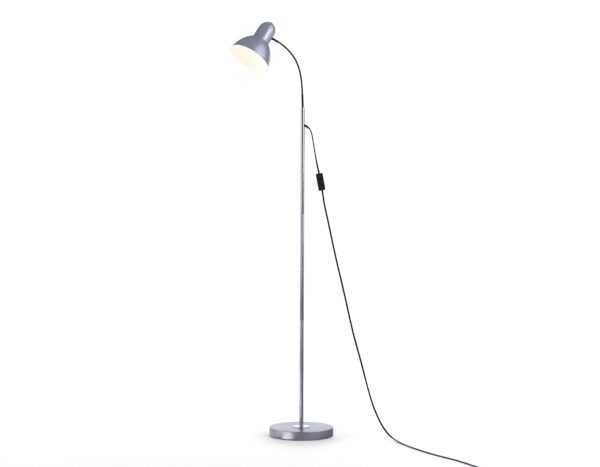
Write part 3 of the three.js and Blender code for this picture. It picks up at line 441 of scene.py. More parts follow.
def softened(outline, radius, steps=4, closed=True):
    """The outline with each corner made a parabola, which meets both sides radius away from the corner, or
    NEARLY_HALF of the way along a shorter side. The ends of an open outline stay."""
    outline = np.asarray(outline, float)
    before = np.roll(outline, 1, 0) - outline
    after = np.roll(outline, -1, 0) - outline
    back, ahead = (np.linalg.norm(side, axis=1, keepdims=True) for side in (before, after))
    limit = np.broadcast_to(np.reshape(radius, (-1, 1)), back.shape)
    reach = np.minimum(limit, NEARLY_HALF * np.minimum(back, ahead))
    start = outline + before / np.maximum(back, 1e-9) * reach
    end = outline + after / np.maximum(ahead, 1e-9) * reach
    t = np.linspace(0, 1, steps + 1)[None, :, None]
    curves = (1 - t) ** 2 * start[:, None] + 2 * t * (1 - t) * outline[:, None] + t**2 * end[:, None]
    if closed:
        return curves.reshape(-1, 2)
    return np.vstack([outline[:1], curves[1:-1].reshape(-1, 2), outline[-1:]])


def arc(centre, radii, start, stop, count):
    """Points at even steps of an angle in degrees: the centre, plus its cosine and sine times the radii."""
    angle = np.radians(np.linspace(start, stop, count))
    return np.array(centre) + np.array(radii) * np.stack([np.cos(angle), np.sin(angle)], -1)


def circle(radius, count):
    """So many points round a circle, the first on the first coordinate's axis."""
    return arc((0, 0), radius, 0, 360 - 360 / count, count)


def oblong(left, right, low, high):
    """The corners of a rectangle, from the low left one to the low right one and round."""
    return [(left, low), (right, low), (right, high), (left, high)]


def ribbed(corners, radii, places):
    """The corners of one rib, moved to each rib's radius and place in turn."""
    return (np.stack([radii, places], -1)[:, None] + np.array(corners)).reshape(-1, 2)


def turned(name, outline, finish, place, around, looped=True, flutes=0, flute_depth=0, **more):
    """A surface of revolution: each point of the outline, a radius and a height, goes round the place's Z
    axis. The radius grows by the share flute_depth times the cosine of flutes times the angle."""
    angle = np.arange(around) * 2 * np.pi / around
    radius, height = np.asarray(outline, float).T[..., None] * np.ones(around)
    radius = radius * (1 + flute_depth * np.cos(flutes * angle))
    points = np.stack([radius * np.cos(angle), radius * np.sin(angle), height], -1)
    return surface(name, points, finish, place, looped, **more)


def outward(outline):
    """The unit direction square to a closed outline at each of its points, away from its middle."""
    way = np.roll(outline, -1, 0) - np.roll(outline, 1, 0)
    square = np.stack([way[:, 1], -way[:, 0]], -1)
    square /= np.linalg.norm(square, axis=1, keepdims=True)
    area = (outline[:, 0] * way[:, 1] - outline[:, 1] * way[:, 0]).sum()
    return square if area > 0 else -square


def slab(name, outline, thickness, edge, finish, place, steps, edges=(True, True)):
    """A plate of a closed outline in X and Y, its two faces square to Z. Towards a rounded face, in so many
    steps, the height rises by edge times the sine of an angle, while the outline draws in by edge times one
    less its cosine, which rolls the edge over."""
    roll = np.linspace(0, np.pi / 2, steps)
    drawn_in, rise = edge * (1 - np.cos(roll)), edge * np.sin(roll)
    half = thickness / 2
    low = [(d, -half + edge - r) for d, r in zip(drawn_in[::-1], rise[::-1])] if edges[0] else [(0, -half)]
    high = [(d, half - edge + r) for d, r in zip(drawn_in, rise)] if edges[1] else [(0, half)]
    levels = np.array(low + high)
    inward = -outward(outline)
    flat = outline[None] + inward[None] * levels[:, 0, None, None]
    height = np.broadcast_to(levels[:, 1, None, None], flat.shape[:2] + (1,))
    return surface(name, np.concatenate([flat, height], -1), finish, place)


def rounded_rectangle(width, height, radius, count):
    """Four quarter circles of count points, each about a point that lies radius in from two sides."""
    corners = [(1, 1, 0), (-1, 1, 90), (-1, -1, 180), (1, -1, 270)]
    middles = [(sx * (width / 2 - radius), sy * (height / 2 - radius), start) for sx, sy, start in corners]
    return np.vstack([arc((x, y), radius, a, a + 90, count) for x, y, a in middles])


def smooth_line(points, spacing):
    """A natural cubic spline through the points, by the running length of its chords, at even steps of
    about the spacing."""
    points = np.asarray(points, float)
    chords = np.linalg.norm(np.diff(points, axis=0), axis=1)
    knots = np.concatenate([[0], np.cumsum(chords)])
    count = len(points)
    system = np.eye(count)
    inner = np.arange(1, count - 1)
    system[inner, inner - 1] = chords[:-1]
    system[inner, inner] = 2 * (chords[:-1] + chords[1:])
    system[inner, inner + 1] = chords[1:]
    slopes = np.diff(points, axis=0) / chords[:, None]
    bends = np.zeros_like(points)
    bends[1:-1] = 6 * np.diff(slopes, axis=0)
    bends = np.linalg.solve(system, bends)
    at = np.linspace(0, knots[-1], int(round(knots[-1] / spacing)) + 1)
    i = np.clip(np.searchsorted(knots, at, side="right") - 1, 0, count - 2)
    step = chords[i][:, None]
    a = (knots[i + 1] - at)[:, None] / step
    b = 1 - a
    curve = (a**3 - a) * bends[i] + (b**3 - b) * bends[i + 1]
    return a * points[i] + b * points[i + 1] + curve * step**2 / 6


def carried(name, line, section, sideways, finish, looped=False, **more):
    """A section carried along a line. Its first coordinate goes along the wanted sideways direction, made
    square to the line, and its second along the cross product of the line's direction and that one."""
    if looped:
        way = np.roll(line, -1, 0) - np.roll(line, 1, 0)
    else:
        way = np.gradient(line, axis=0)
    way = way / np.linalg.norm(way, axis=1, keepdims=True)
    across = sideways - (sideways * way).sum(1, keepdims=True) * way
    across = across / np.linalg.norm(across, axis=1, keepdims=True)
    other = np.cross(way, across)
    points = line[:, None] + section[None, :, :1] * across[:, None] + section[None, :, 1:] * other[:, None]
    return surface(name, points, finish, looped=looped, **more)


def running_length(line):
    """The summed length of the chords up to each point."""
    return np.concatenate([[0], np.cumsum(np.linalg.norm(np.diff(line, axis=0), axis=1))])


def put(piece, body, slot, *nodes):
    """Sets a finished piece on its body and hides the CAD nodes that it stands for. The slot is not used.
    """
    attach(piece, body)
    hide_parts(*nodes)


# Cord: from the strain relief to the switch, then over the floor to the coil and the plug

EAST, NORTH, UP = np.eye(3)

FLEX_WIDTH = 6.2
FLEX_THICKNESS = 3.9
FLEX_POINTS = 20
VALLEY_DEPTH = 0.2
VALLEY_SPREAD = 0.28
POLE_RADIUS = 7
LEAD_RADIUS = 1.4
LEAD_POINTS = 12

RELIEF_HEIGHT = 1086
RELIEF_HEADING = -16
RELIEF_DROOP = 35
RELIEF_FLANGE = 3.727
RELIEF_TIP = 17.927
RELIEF_FRAME = (
    move(0, 0, RELIEF_HEIGHT)
    @ turn(RELIEF_HEADING, "Z")
    @ move(POLE_RADIUS, 0, 0)
    @ turn(90 + RELIEF_DROOP, "Y")
)
SWITCH_AT = (63.3, -16, 887.8)
SWITCH_LEAN = -10.6
SWITCH_DIP = -3
SWITCH_FRAME = move(*SWITCH_AT) @ turn(SWITCH_LEAN, "Y") @ turn(SWITCH_DIP, "X")
SWITCH_WIDTH = 24.5
SWITCH_THICKNESS = 18
SWITCH_LENGTH = 60
SWITCH_OVERLAP = 1
SWITCH_STRAIGHT = 5.5

# Points of the cord's middle line, matched to the photograph as far as it shows them
UPPER_ROUTE = [
    (26.7, -7.4, 1068.6), (31.7, -8.5, 1055), (34.7, -9.3, 1040), (37.7, -10, 1022),
    (42.7, -11.2, 992), (48, -12.5, 963), (53.2, -13.6, 937),
]
LOWER_ROUTE = [
    (74.5, -19.3, 822), (86, -22.6, 767.5), (98, -26.1, 712), (110, -29.5, 656.5),
    (122.6, -33.2, 601), (136, -37.1, 545.7), (149, -40.8, 490.4), (161.6, -44.5, 435),
    (174.2, -48.2, 380), (188.5, -52.3, 325), (204, -56.8, 270), (218.4, -61, 215),
    (233.3, -65.3, 160.4), (246, -69, 119), (262.6, -73.8, 78.8), (276, -77.6, 51.8),
    (286, -80.5, 36.5), (294.5, -83.5, 25), (303.5, -88.5, 16), (312.7, -98, 9),
    (321.8, -115, 5.2), (330.2, -139, 3), (338.5, -162.4, 2.4), (346.8, -186, 2.15),
    (363.4, -226.8, 2.15), (396.5, -299, 2.15), (429.4, -360.2, 2.15), (499.5, -470.9, 2.15),
    (543.2, -564.2, 2.15), (571, -616, 2.8),
]

COIL_CENTRE = (571.5, -697)
COIL_RADIUS = 36
COIL_PITCH = 4.75
COIL_LOW = 4.2
COIL_RISE = 6.95
COIL_ENTRY = math.radians(26.7)
COIL_TURNS = 3 + 116.7 / 360
COIL_CLIMB = 0.5
COIL_EXIT = 48
COIL_POINTS = 97
PLUG_HEIGHT = 7

# The flat flex turns about its own line: in degrees down to the switch, and on edge ahead of the coil
TURN_AT_RELIEF = 25
TURN_AT_SWITCH = 90
TURN_STARTS = 0.55
ON_EDGE_FROM = 1440
ON_EDGE_UNTIL = 1535


def on_axis(place, height):
    """The point at a height on the place's own Z axis."""
    return np.array(place @ move(0, 0, height))[:3, 3]


def step_up(values, low, high):
    """0 below low, 1 above high, and three times the square less twice the cube of the share between."""
    share = np.clip((values - low) / (high - low), 0, 1)
    return share * share * (3 - 2 * share)


def about_coil(radius, angle, height):
    """The point at that radius, angle and height about the coil's upright axis."""
    return np.stack([radius * np.cos(angle), radius * np.sin(angle), height], -1) + (*COIL_CENTRE, 0)


def coil_line():
    """In along the tangent, then clockwise with a radius that closes in to the middle of the way and opens
    again by the pitch, one layer up about the middle, and out along the tangent while it comes down to the
    plug's height."""
    turns = np.linspace(0, COIL_TURNS, COIL_POINTS)
    from_middle = turns - COIL_TURNS / 2
    radius = COIL_RADIUS - COIL_PITCH * (COIL_TURNS / 2 - np.abs(from_middle))
    angle = COIL_ENTRY - 2 * np.pi * turns
    height = COIL_LOW + COIL_RISE * step_up(from_middle, -COIL_CLIMB / 2, COIL_CLIMB / 2)
    wound = about_coil(radius, angle, height)
    entry, leave = (np.array([math.sin(a), -math.cos(a), 0]) for a in (angle[0], angle[-1]))
    before = wound[:1] - entry * np.array([[3.4], [2], [1], [0.5]]) * FLEX_WIDTH
    share = np.array([0.2, 0.4, 0.52, 0.62, 0.72, 0.84, 0.92, 1])
    after = wound[-1:] + leave * (COIL_EXIT * share)[:, None]
    after[:, 2] += (PLUG_HEIGHT - after[:, 2]) * step_up(share, 0.4, 0.84)
    return np.vstack([before, wound, after])


def flex_section():
    """An oval, wide along its first coordinate, with a shallow valley along each broad side: a bell curve
    taken off its thickness about the middle."""
    angle = np.arange(FLEX_POINTS) * 2 * np.pi / FLEX_POINTS
    across = np.cos(angle)
    valley = 1 - VALLEY_DEPTH * np.exp(-((across / VALLEY_SPREAD) ** 2))
    return np.stack([FLEX_WIDTH / 2 * across, FLEX_THICKNESS / 2 * np.sin(angle) * valley], -1)


def sheathed(name, line, section, sideways):
    """A section in the cord's sheath, carried along a line."""
    around = np.arange(len(section) + 1) / len(section)
    return carried(name, line, section, sideways, "cord_sheath", uv=(around, running_length(line)))


relief_tip, past_tip = (on_axis(RELIEF_FRAME, RELIEF_TIP + along) for along in (-1, 3.4))
switch_mouth = SWITCH_LENGTH / 2 + np.array([SWITCH_STRAIGHT, -SWITCH_OVERLAP])
into_switch = [on_axis(SWITCH_FRAME, height) for height in switch_mouth]
out_of_switch = [on_axis(SWITCH_FRAME, -height) for height in switch_mouth[::-1]]

upper_line = smooth_line([relief_tip, past_tip, *UPPER_ROUTE, *into_switch], 3)
upper_length = running_length(upper_line)
turned_share = step_up(upper_length / upper_length[-1], TURN_STARTS, 1)[:, None]
upper_turn = np.radians(TURN_AT_RELIEF + (TURN_AT_SWITCH - TURN_AT_RELIEF) * turned_share)
upper_sideways = np.cos(upper_turn) * NORTH - np.sin(upper_turn) * EAST
cord_upper = sheathed("flex_upper", upper_line, flex_section(), upper_sideways)

lower_line = smooth_line([*out_of_switch, *LOWER_ROUTE, *coil_line()], 2.5)
lower_length = running_length(lower_line)
on_edge = step_up(lower_length, ON_EDGE_FROM, ON_EDGE_UNTIL)[:, None]
lower_sideways = (1 - on_edge) * EAST + on_edge * UP
cord_lower = sheathed("flex_lower", lower_line, flex_section(), lower_sideways)

lead_bend = [on_axis(RELIEF_FRAME, -3.3), on_axis(RELIEF_FRAME, -5.1)]
lead_rise = [(0, 0, RELIEF_HEIGHT + up) for up in (10, 20, 30)]
inner_line = smooth_line([*lead_bend, *lead_rise], 1.5)
inner_lead = sheathed("lead_inside_pole", inner_line, circle(LEAD_RADIUS, LEAD_POINTS), NORTH)

put(cord_upper, "stand", "cord_sheath", "cord_upper")
put(cord_lower, "stand", "cord_sheath", "cord_lower", "cord_coil")
put(inner_lead, "stand", "cord_sheath", "inner_lead")


# Base and pole

BASE_RADIUS = 112
BASE_TOP = 30
COVER_LOW = 1
COVER_SHEET = 1.2
BORE_RADIUS = 4.3
PAD_RADIUS = 106
PAD_THICKNESS = 2
COLLAR_RADIUS = 31
COLLAR_LOW = 30.3
COLLAR_HIGH = 31.8
TUBE_WALL = 1
PLATE_RADIUS = 4.8
PLATE_THICKNESS = 1.6
SECTION_BOTTOMS = (32.1, 404.1, 776.1)
SECTION_LENGTH = 371.7
POLE_TOP = 1147.8

cover_inner = BASE_RADIUS - COVER_SHEET
cover_under = BASE_TOP - COVER_SHEET
cover_skirt = [(cover_inner, COVER_LOW), (BASE_RADIUS, COVER_LOW), (BASE_RADIUS, BASE_TOP)]
cover_plate = [(BORE_RADIUS, BASE_TOP), (BORE_RADIUS, cover_under), (cover_inner, cover_under)]
cover_outline = softened(cover_skirt + cover_plate, [0.3, 0.5, 2.2, 0.2, 0.2, 0.8], 6)
# The rows on the top take the second, darker and bluer copy of the steel, a painted shade for how light
# falls on the top.
at_bore = cover_outline[:, 0] < BORE_RADIUS + 0.2
on_top = cover_outline[:, 1] > BASE_TOP - 0.1
below_top = at_bore & (cover_outline[:, 1] < BASE_TOP - 0.3)
top_rows = (int(np.argmax(on_top)), int(np.argmax(below_top)))
base_cover = turned("base_shell", cover_outline, ("base_steel", "base_top_painted_shade"), WORLD, 192, lining=top_rows)
put(base_cover, "stand", "brushed_steel", "base_cover")

pad_outline = softened(oblong(0, PAD_RADIUS, 0, PAD_THICKNESS), 0.6, closed=False)
base_pad = turned("base_felt", pad_outline, "floor_pad", WORLD, 128, looped=False)
put(base_pad, "stand", "floor_pad", "base_pad")

collar_corners = oblong(BORE_RADIUS, COLLAR_RADIUS, COLLAR_LOW, COLLAR_HIGH)
collar_outline = softened(collar_corners, [0.1, 0.2, 0.9, 0.2], 5)
collar = turned("pole_washer", collar_outline, "polished_steel", WORLD, 128)
put(collar, "stand", "polished_steel", "pole_collar")

for part, bottom in zip(("lower", "middle", "upper"), SECTION_BOTTOMS):
    tube_corners = oblong(POLE_RADIUS - TUBE_WALL, POLE_RADIUS, bottom, bottom + SECTION_LENGTH)
    tube_outline = softened(tube_corners, 0.35)
    tube = turned("pole_tube_" + part, tube_outline, "pole_steel", WORLD, 72)
    put(tube, "stand", "brushed_steel", "pole_" + part)

rib_starts = RELIEF_FLANGE + 2.4 + 2.05 * np.arange(6)
rib_radii = 4.3 - 0.15 * np.arange(6)
ribs = ribbed([(-0.6, 0), (0, 0), (-0.05, 1.2), (-0.65, 1.2)], rib_radii, rib_starts)
plate_top = RELIEF_FLANGE + PLATE_THICKNESS
relief_stem = [(0, -3.4), (3.4, -3.4), (3.4, RELIEF_FLANGE)]
relief_plate = [(PLATE_RADIUS, RELIEF_FLANGE), (PLATE_RADIUS, plate_top), (3.9, plate_top)]
relief_end = [(3.5, RELIEF_TIP), (0, RELIEF_TIP)]
relief_outline = softened(np.vstack([relief_stem, relief_plate, ribs[1:], relief_end]), 0.22, closed=False)
relief = turned("relief_sleeve", relief_outline, "black_plastic", RELIEF_FRAME, 40, looped=False)
put(relief, "stand", "black_plastic", "cord_relief")


# Neck: eight lengths of sleeve along the neck at rest, each reaching over one joint, and a ferrule at each
# end

NECK_RADIUS = 3
NECK_LEAN = 2
NECK_BEND = 58
NECK_FOOT = 50
NECK_DEPTH = 13
NECK_ZONE = 25.7
NECK_TIP = 24.5
NECK_SHARES = (0.05, 0.064, 0.09, 0.145, 0.182, 0.153, 0.131, 0.185)
ZONES = len(NECK_SHARES)
NECK_END = NECK_FOOT + ZONES * NECK_ZONE + NECK_TIP
NECK_STEP = 0.1
NECK_NODES = (["neck_foot", "neck_link_1"], *([f"neck_link_{k}"] for k in range(2, ZONES)), ["neck_tip"])
SLEEVE_STEP = 1.2
SLEEVE_POINTS = 24
FERRULE_WALL = (3.3, 3.9)
LOWER_FERRULE_TOP = 45
UPPER_FERRULE_TOP = 29.5
CUP_RADIUS = 31
HEAD_SPIN = 18.6


def neck_frames():
    """The foot's frame, and the one at the tip: each zone goes on along its arc towards -X by the radius
    times one less the cosine of its bend, and up by the radius times the sine."""
    foot = move(0, 0, POLE_TOP) @ turn(-NECK_LEAN, "Y")
    at = foot @ move(0, 0, NECK_FOOT)
    for share in NECK_SHARES:
        bend = math.radians(NECK_BEND * share)
        radius = NECK_ZONE / bend
        at = at @ move(-radius * (1 - math.cos(bend)), 0, radius * math.sin(bend))
        at = at @ turn(-NECK_BEND * share, "Y")
    return foot, at


def neck_line(distances):
    """Points along the neck's middle: the lean grows at a steady rate in each zone, and its sine and cosine
    summed over the distance give the way towards -X and up."""
    knots = np.concatenate([[-NECK_DEPTH], NECK_FOOT + NECK_ZONE * np.arange(ZONES + 1), [NECK_END]])
    leans = np.radians(NECK_LEAN + NECK_BEND * np.concatenate([[0, 0], np.cumsum(NECK_SHARES), [1]]))
    fine = np.arange(-NECK_DEPTH, NECK_END + NECK_STEP, NECK_STEP)
    lean = np.interp(fine, knots, leans)
    east = -np.cumsum(np.sin(lean)) * NECK_STEP
    up = np.cumsum(np.cos(lean)) * NECK_STEP
    start = -NECK_DEPTH * np.array([-math.sin(leans[0]), math.cos(leans[0])])
    x = np.interp(distances, fine, east - east[0] + start[0])
    z = np.interp(distances, fine, up - up[0] + start[1]) + POLE_TOP
    return np.stack([x, np.zeros_like(x), z], -1)


FOOT_FRAME, TIP_FRAME = neck_frames()
HEAD_FRAME = TIP_FRAME @ move(0, 0, NECK_TIP + CUP_RADIUS) @ turn(HEAD_SPIN, "Z") @ turn(90, "Y")

middles = NECK_FOOT + NECK_ZONE * (np.arange(1, ZONES) - 0.5)
sleeve_ends = [-NECK_DEPTH, *middles, NECK_END]
sleeve_around = np.arange(SLEEVE_POINTS + 1) / SLEEVE_POINTS
for k in range(ZONES):
    first, last = sleeve_ends[k : k + 2]
    distances = np.linspace(first, last, int((last - first) / SLEEVE_STEP) + 2)
    sleeve = carried(
        f"neck_sleeve_{k + 1}",
        neck_line(distances),
        circle(NECK_RADIUS, SLEEVE_POINTS),
        NORTH,
        "neck_sleeve",
        uv=(sleeve_around, distances),
    )
    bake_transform(sleeve)
    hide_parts(*NECK_NODES[k])

lower_outline = softened(oblong(*FERRULE_WALL, -NECK_DEPTH, LOWER_FERRULE_TOP), 0.3)
lower_ferrule = turned("ferrule_below", lower_outline, "black_plastic", FOOT_FRAME, 40)
put(lower_ferrule, "stand", "black_plastic", "neck_lower_ferrule")
upper_outline = softened(oblong(*FERRULE_WALL, 0, UPPER_FERRULE_TOP), 0.3)
upper_ferrule = turned("ferrule_above", upper_outline, "black_plastic", TIP_FRAME, 40)
put(upper_ferrule, "head", "black_plastic", "neck_upper_ferrule")


# Head: cup, crown nut, shade, lampholder and bulb

CUP_BOTTOM = -32
CUP_CENTRE = 10.7
CUP_DEPTH = 36.5
WALL = 1

cup_inner = CUP_RADIUS - WALL
cup_start = [(CUP_RADIUS - 0.25, CUP_BOTTOM), (CUP_RADIUS, CUP_BOTTOM + 0.3), (CUP_RADIUS, -12)]
cup_outside = arc((0, CUP_CENTRE), (CUP_RADIUS, CUP_DEPTH), 0, 84.4, 40)
cup_inside = arc((0, CUP_CENTRE), (cup_inner, CUP_DEPTH - WALL), 84.3, 0, 40)
cup_end = [(cup_inner, CUP_BOTTOM + 0.3), (cup_inner + 0.25, CUP_BOTTOM)]
cup_outline = np.vstack([cup_start, cup_outside, cup_inside, cup_end])
cup = turned("cup_shell", cup_outline, "silver_paint", HEAD_FRAME, 128)
put(cup, "head", "silver_paint", "socket_cup")

nut_crown = arc((0, 49.2), (4.2, 2.7), -30, 90, 14)
nut_outline = np.vstack([[(0, 47.5), (3.6, 47.5)], nut_crown])
nut_outline[-1, 0] = 0
nut = turned("crown_cap", nut_outline, "silver_paint", HEAD_FRAME, 40, looped=False)
put(nut, "head", "silver_paint", "crown_nut")

SHOULDER = (34.5, -33.4)
RIM = (73.5, -107.7)
SHADE_ARC = 120.5
SIDE_POINTS = 40


def shade_side(inset):
    """The shade's wall below its shoulder: one arc from the shoulder to the rim, bulging outwards. Its
    centre is square to the chord's middle, at the root of radius squared less half the chord squared."""
    start = np.array([SHOULDER[0] - inset, SHOULDER[1] - inset / 2])
    end = np.array([RIM[0] - inset, RIM[1]])
    chord = end - start
    length = np.linalg.norm(chord)
    radius = SHADE_ARC - inset
    square = np.array([chord[1], -chord[0]]) / length
    centre = (start + end) / 2 + square * math.sqrt(radius**2 - length**2 / 4)
    angles = np.arctan2(*(np.stack([start, end]) - centre).T[::-1])
    sweep = np.linspace(angles[0], angles[1], SIDE_POINTS)
    return centre + radius * np.stack([np.cos(sweep), np.sin(sweep)], -1)


collar_outside = [(19.8, -25), (19.8, -24), (28.9, -24), (29.7, -24.8), (29.7, -32.2), (30.5, -33.0)]
collar_inside = [(29.5, -33.9), (28.7, -33.1), (28.7, -25.6), (28.1, -25)]
outside = np.vstack([collar_outside, shade_side(0)[:-1]])
rim_bead = arc((RIM[0] - 0.45, RIM[1]), (0.95, 0.7), 20, -200, 12)
shade_outline = np.vstack([outside, rim_bead, shade_side(WALL)[-2::-1], collar_inside])
# The inside rows take the lining, whose glow is painted light from the bulb.
inside_rows = (len(outside) + len(rim_bead) // 2, len(shade_outline))
both_sides = ("silver_paint", "shade_lining_painted_glow")
shade = turned("shade_shell", shade_outline, both_sides, HEAD_FRAME, 160, lining=inside_rows)
put(shade, "head", "silver_paint", "shade")

grip_outline = softened(oblong(19.8, 25.3, -29.3, -25.3), 0.5)
grip = turned(
    "shade_ring_nut", grip_outline, "black_plastic", HEAD_FRAME, 144, flutes=24, flute_depth=0.006
)
put(grip, "head", "black_plastic", "shade_ring")

ridge = np.arange(12)
thread = np.stack([19.45 - 0.35 * (ridge % 2), -31.1 + 0.62 * ridge], -1)
skirt_mouth = [(17.5, -31.3), (19.2, -31.3)]
skirt_flange = [(19.4, -23.7), (22.5, -23.7), (22.5, -21.7), (19.5, -21.7), (19.5, 7.7), (17.5, 7.7)]
skirt_outline = softened(np.vstack([skirt_mouth, thread, skirt_flange]), 0.15, 2)
skirt = turned("holder_sleeve", skirt_outline, "black_plastic", HEAD_FRAME, 72)
put(skirt, "head", "black_plastic", "holder_skirt")

BULB_RADIUS = 28
BULB_CENTRE = -56.65
BULB_SHOULDER = 52
bulb_outside = arc((0, BULB_CENTRE), BULB_RADIUS, -90, BULB_SHOULDER, 48)
bulb_inside = arc((0, BULB_CENTRE), BULB_RADIUS - WALL, BULB_SHOULDER, -90, 32)
neck_outside = np.array([(14.6, -30.2), (13.5, -25.5), (13.2, -21), (13.2, -10.65)])
neck_inside = np.array([(12.2, -10.65), (12.2, -21), (12.5, -25.5), (13.6, -30.4)])
bulb_outside[0, 0] = bulb_inside[-1, 0] = 0
bulb_outline = np.vstack([bulb_outside, neck_outside, neck_inside, bulb_inside])
bulb = turned("bulb_globe", bulb_outline, "opal_glass", HEAD_FRAME, 72, looped=False)
put(bulb, "head", "opal_glass", "bulb_glass")


# Switch on the cord: two half shells, a rocker in its window

SWITCH_FACES = SWITCH_FRAME @ turn(-90, "X")
SPLIT = 0.15
SHELL_EDGE = 2
ROCKER_PIVOT = -6
ROCKER_REST = 8
ROCKER_FRAME = SWITCH_FRAME @ move(0, ROCKER_PIVOT, 0) @ turn(ROCKER_REST, "X")
ROCKER_REACH = 11.3
ROCKER_TOP = 4.6
ROCKER_UNDERSIDE = 0.8
ROCKER_DISH = 0.9
ROCKER_WIDTH = 10
WINDOW_SIZE = (10.6, 23.2)
WINDOW_MIDDLE = -8.4
WINDOW_DEPTH = 9
HUB_RADIUS = 2.6


def carve(piece, tool):
    """Takes the tool's shape out of the piece and throws the tool away."""
    cutter = piece.modifiers.new("window", "BOOLEAN")
    cutter.operation = "DIFFERENCE"
    cutter.solver = "EXACT"
    cutter.object = tool
    bpy.context.view_layer.update()
    evaluated = piece.evaluated_get(bpy.context.evaluated_depsgraph_get())
    mesh = bpy.data.meshes.new_from_object(evaluated)
    piece.modifiers.clear()
    old = piece.data
    piece.data = mesh
    bpy.data.meshes.remove(old)
    mesh.shade_smooth()
    mesh.set_sharp_from_angle(angle=CREASE)
    scrap = tool.data
    bpy.data.objects.remove(tool)
    bpy.data.meshes.remove(scrap)


def half_shell(name, side):
    """One half of the switch's housing, on the side of its split where Z has that sign."""
    thickness = SWITCH_THICKNESS / 2 - SPLIT
    place = SWITCH_FACES @ move(0, 0, side * (SPLIT + thickness / 2))
    outline = rounded_rectangle(SWITCH_WIDTH, SWITCH_LENGTH, 4.5, 9)
    return slab(name, outline, thickness, SHELL_EDGE, "black_plastic", place, 7, (side < 0, side > 0))


switch_front = half_shell("switch_face", -1)
window_outline = rounded_rectangle(*WINDOW_SIZE, 0.6, 4)
window_place = SWITCH_FACES @ move(0, 0, WINDOW_MIDDLE)
window = slab("window_tool", window_outline, WINDOW_DEPTH, 0.2, "black_plastic", window_place, 3)
carve(switch_front, window)
put(switch_front, "stand", "black_plastic", "switch_front")
switch_back = half_shell("switch_shell", 1)
put(switch_back, "stand", "black_plastic", "switch_back")

end_angles = np.degrees(np.arcsin(np.array([ROCKER_TOP, ROCKER_UNDERSIDE]) / ROCKER_REACH))
end_arc = arc((0, 0), ROCKER_REACH, *end_angles, 6)
hub = arc((0, 0), HUB_RADIUS, 30, 150, 9)
rocker_outline = np.vstack([[(0, ROCKER_DISH - ROCKER_TOP)], end_arc * (1, -1), hub, -end_arc[::-1]])
rocker_place = ROCKER_FRAME @ Matrix(((0, 0, 1, 0), (0, 1, 0, 0), (1, 0, 0, 0), (0, 0, 0, 1)))
rocker = slab("rocker_key", rocker_outline, ROCKER_WIDTH, 0.35, "rocker_plastic", rocker_place, 4)
put(rocker, "rocker", "black_plastic", "switch_rocker")


# Tie and plug

TIE_GAP = 0.4
TIE_HALF_WIDTH = 2
TIE_HALF_THICKNESS = 0.35
TIE_ANGLE = math.radians(150)

tie_inner = COIL_RADIUS - COIL_PITCH * COIL_TURNS / 2 - FLEX_THICKNESS / 2 - TIE_GAP
tie_outer = COIL_RADIUS + FLEX_THICKNESS / 2 + TIE_GAP
tie_low = TIE_HALF_THICKNESS
tie_high = COIL_LOW + COIL_RISE + FLEX_WIDTH / 2 + TIE_GAP + TIE_HALF_THICKNESS
tie_loop = rounded_rectangle(tie_outer - tie_inner + 2 * TIE_HALF_THICKNESS, tie_high - tie_low, 2, 8)
tie_radial = (tie_inner + tie_outer) / 2 + tie_loop[:, 0]
tie_line = about_coil(tie_radial, TIE_ANGLE, (tie_low + tie_high) / 2 + tie_loop[:, 1])
tie_corners = oblong(-TIE_HALF_WIDTH, TIE_HALF_WIDTH, -TIE_HALF_THICKNESS, TIE_HALF_THICKNESS)
tie_way = np.array([-math.sin(TIE_ANGLE), math.cos(TIE_ANGLE), 0])
tie = carried("tie_band", tie_line, softened(tie_corners, 0.2, 3), tie_way, "rocker_plastic", looped=True)
put(tie, "stand", "black_plastic", "cord_tie")

PLUG_FRAME = move(523.2, -733, PLUG_HEIGHT) @ turn(180, "Z")
SLEEVE_LENGTH = 22
PLUG_START = 22.3
PLUG_THICKNESS = 13.7
PIN_START = 58.6
PIN_SPREAD = 9.3
rib_places = 1.6 + 2.6 * np.arange(8)
rib_sizes = 3.6 + 1.6 * (rib_places + 0.7) / SLEEVE_LENGTH
plug_ribs = ribbed([(0, 0), (0.02, 1.5), (-0.7, 1.5), (-0.6, 2.6)], rib_sizes, rib_places)[:-1]
plug_neck = [(0, 0), (3.3, 0), (3.1, 1.6)]
plug_root = [(5.0, SLEEVE_LENGTH - 0.6), (5.0, SLEEVE_LENGTH), (0, SLEEVE_LENGTH)]
sleeve_outline = softened(np.vstack([plug_neck, plug_ribs, plug_root]), 0.25, closed=False)
plug_axis = PLUG_FRAME @ turn(90, "Y")
plug_relief = turned("plug_sleeve", sleeve_outline, "black_plastic", plug_axis, 40, looped=False)
put(plug_relief, "stand", "black_plastic", "plug_relief")

plug_outline = softened(
    [(0, -7), (15, -17.65), (36, -17.65), (36, 17.65), (15, 17.65), (0, 7)],
    [2.5, 8, 2.5, 2.5, 8, 2.5],
    8,
)
plug_place = PLUG_FRAME @ move(PLUG_START, 0, 0)
plug = slab("plug_shell", plug_outline, PLUG_THICKNESS, 2.4, "black_plastic", plug_place, 7)
put(plug, "stand", "black_plastic", "plug_body")

pin_outline = np.vstack([[(0, 0), (1.95, 0), (1.95, 10), (2, 10.05)], arc((0, 17), 2, 0, 90, 8)])
pin_outline[-1, 0] = 0
for number, side in enumerate((-1, 1), 1):
    pin_place = PLUG_FRAME @ move(PIN_START, side * PIN_SPREAD, 0) @ turn(90, "Y")
    pin = turned(f"plug_prong_{number}", pin_outline, "pin_metal", pin_place, 32, looped=False)
    put(pin, "stand", "pin_metal", f"plug_pin_{number}")

(upper_line * MILLIMETRE).tolist()
tuple(lower_line[0] * MILLIMETRE)
(lower_line * MILLIMETRE).tolist()


# CAD pieces that stay as they are, with their finishes

KEPT = {
    "cast_weight": ["base_weight"],
    "zinc_steel": [
        "base_bolt", "base_washer", "pole_foot_insert", "joint_nipple_lower", "joint_nipple_upper",
        "pole_top_bush", "holder_stem", "neck_nut", "rocker_pin", "switch_screw_1", "switch_screw_2",
    ],
    "black_plastic": ["holder_cap"],
    "ceramic": ["holder_ceramic", "switch_contact_block"],
    "brass": ["holder_shell", "holder_contact"],
    "bulb_metal": ["bulb_cap"],
}
for finish, names in KEPT.items():
    for name in names:
        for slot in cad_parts[name].material_slots:
            slot.material = FINISHES[finish]


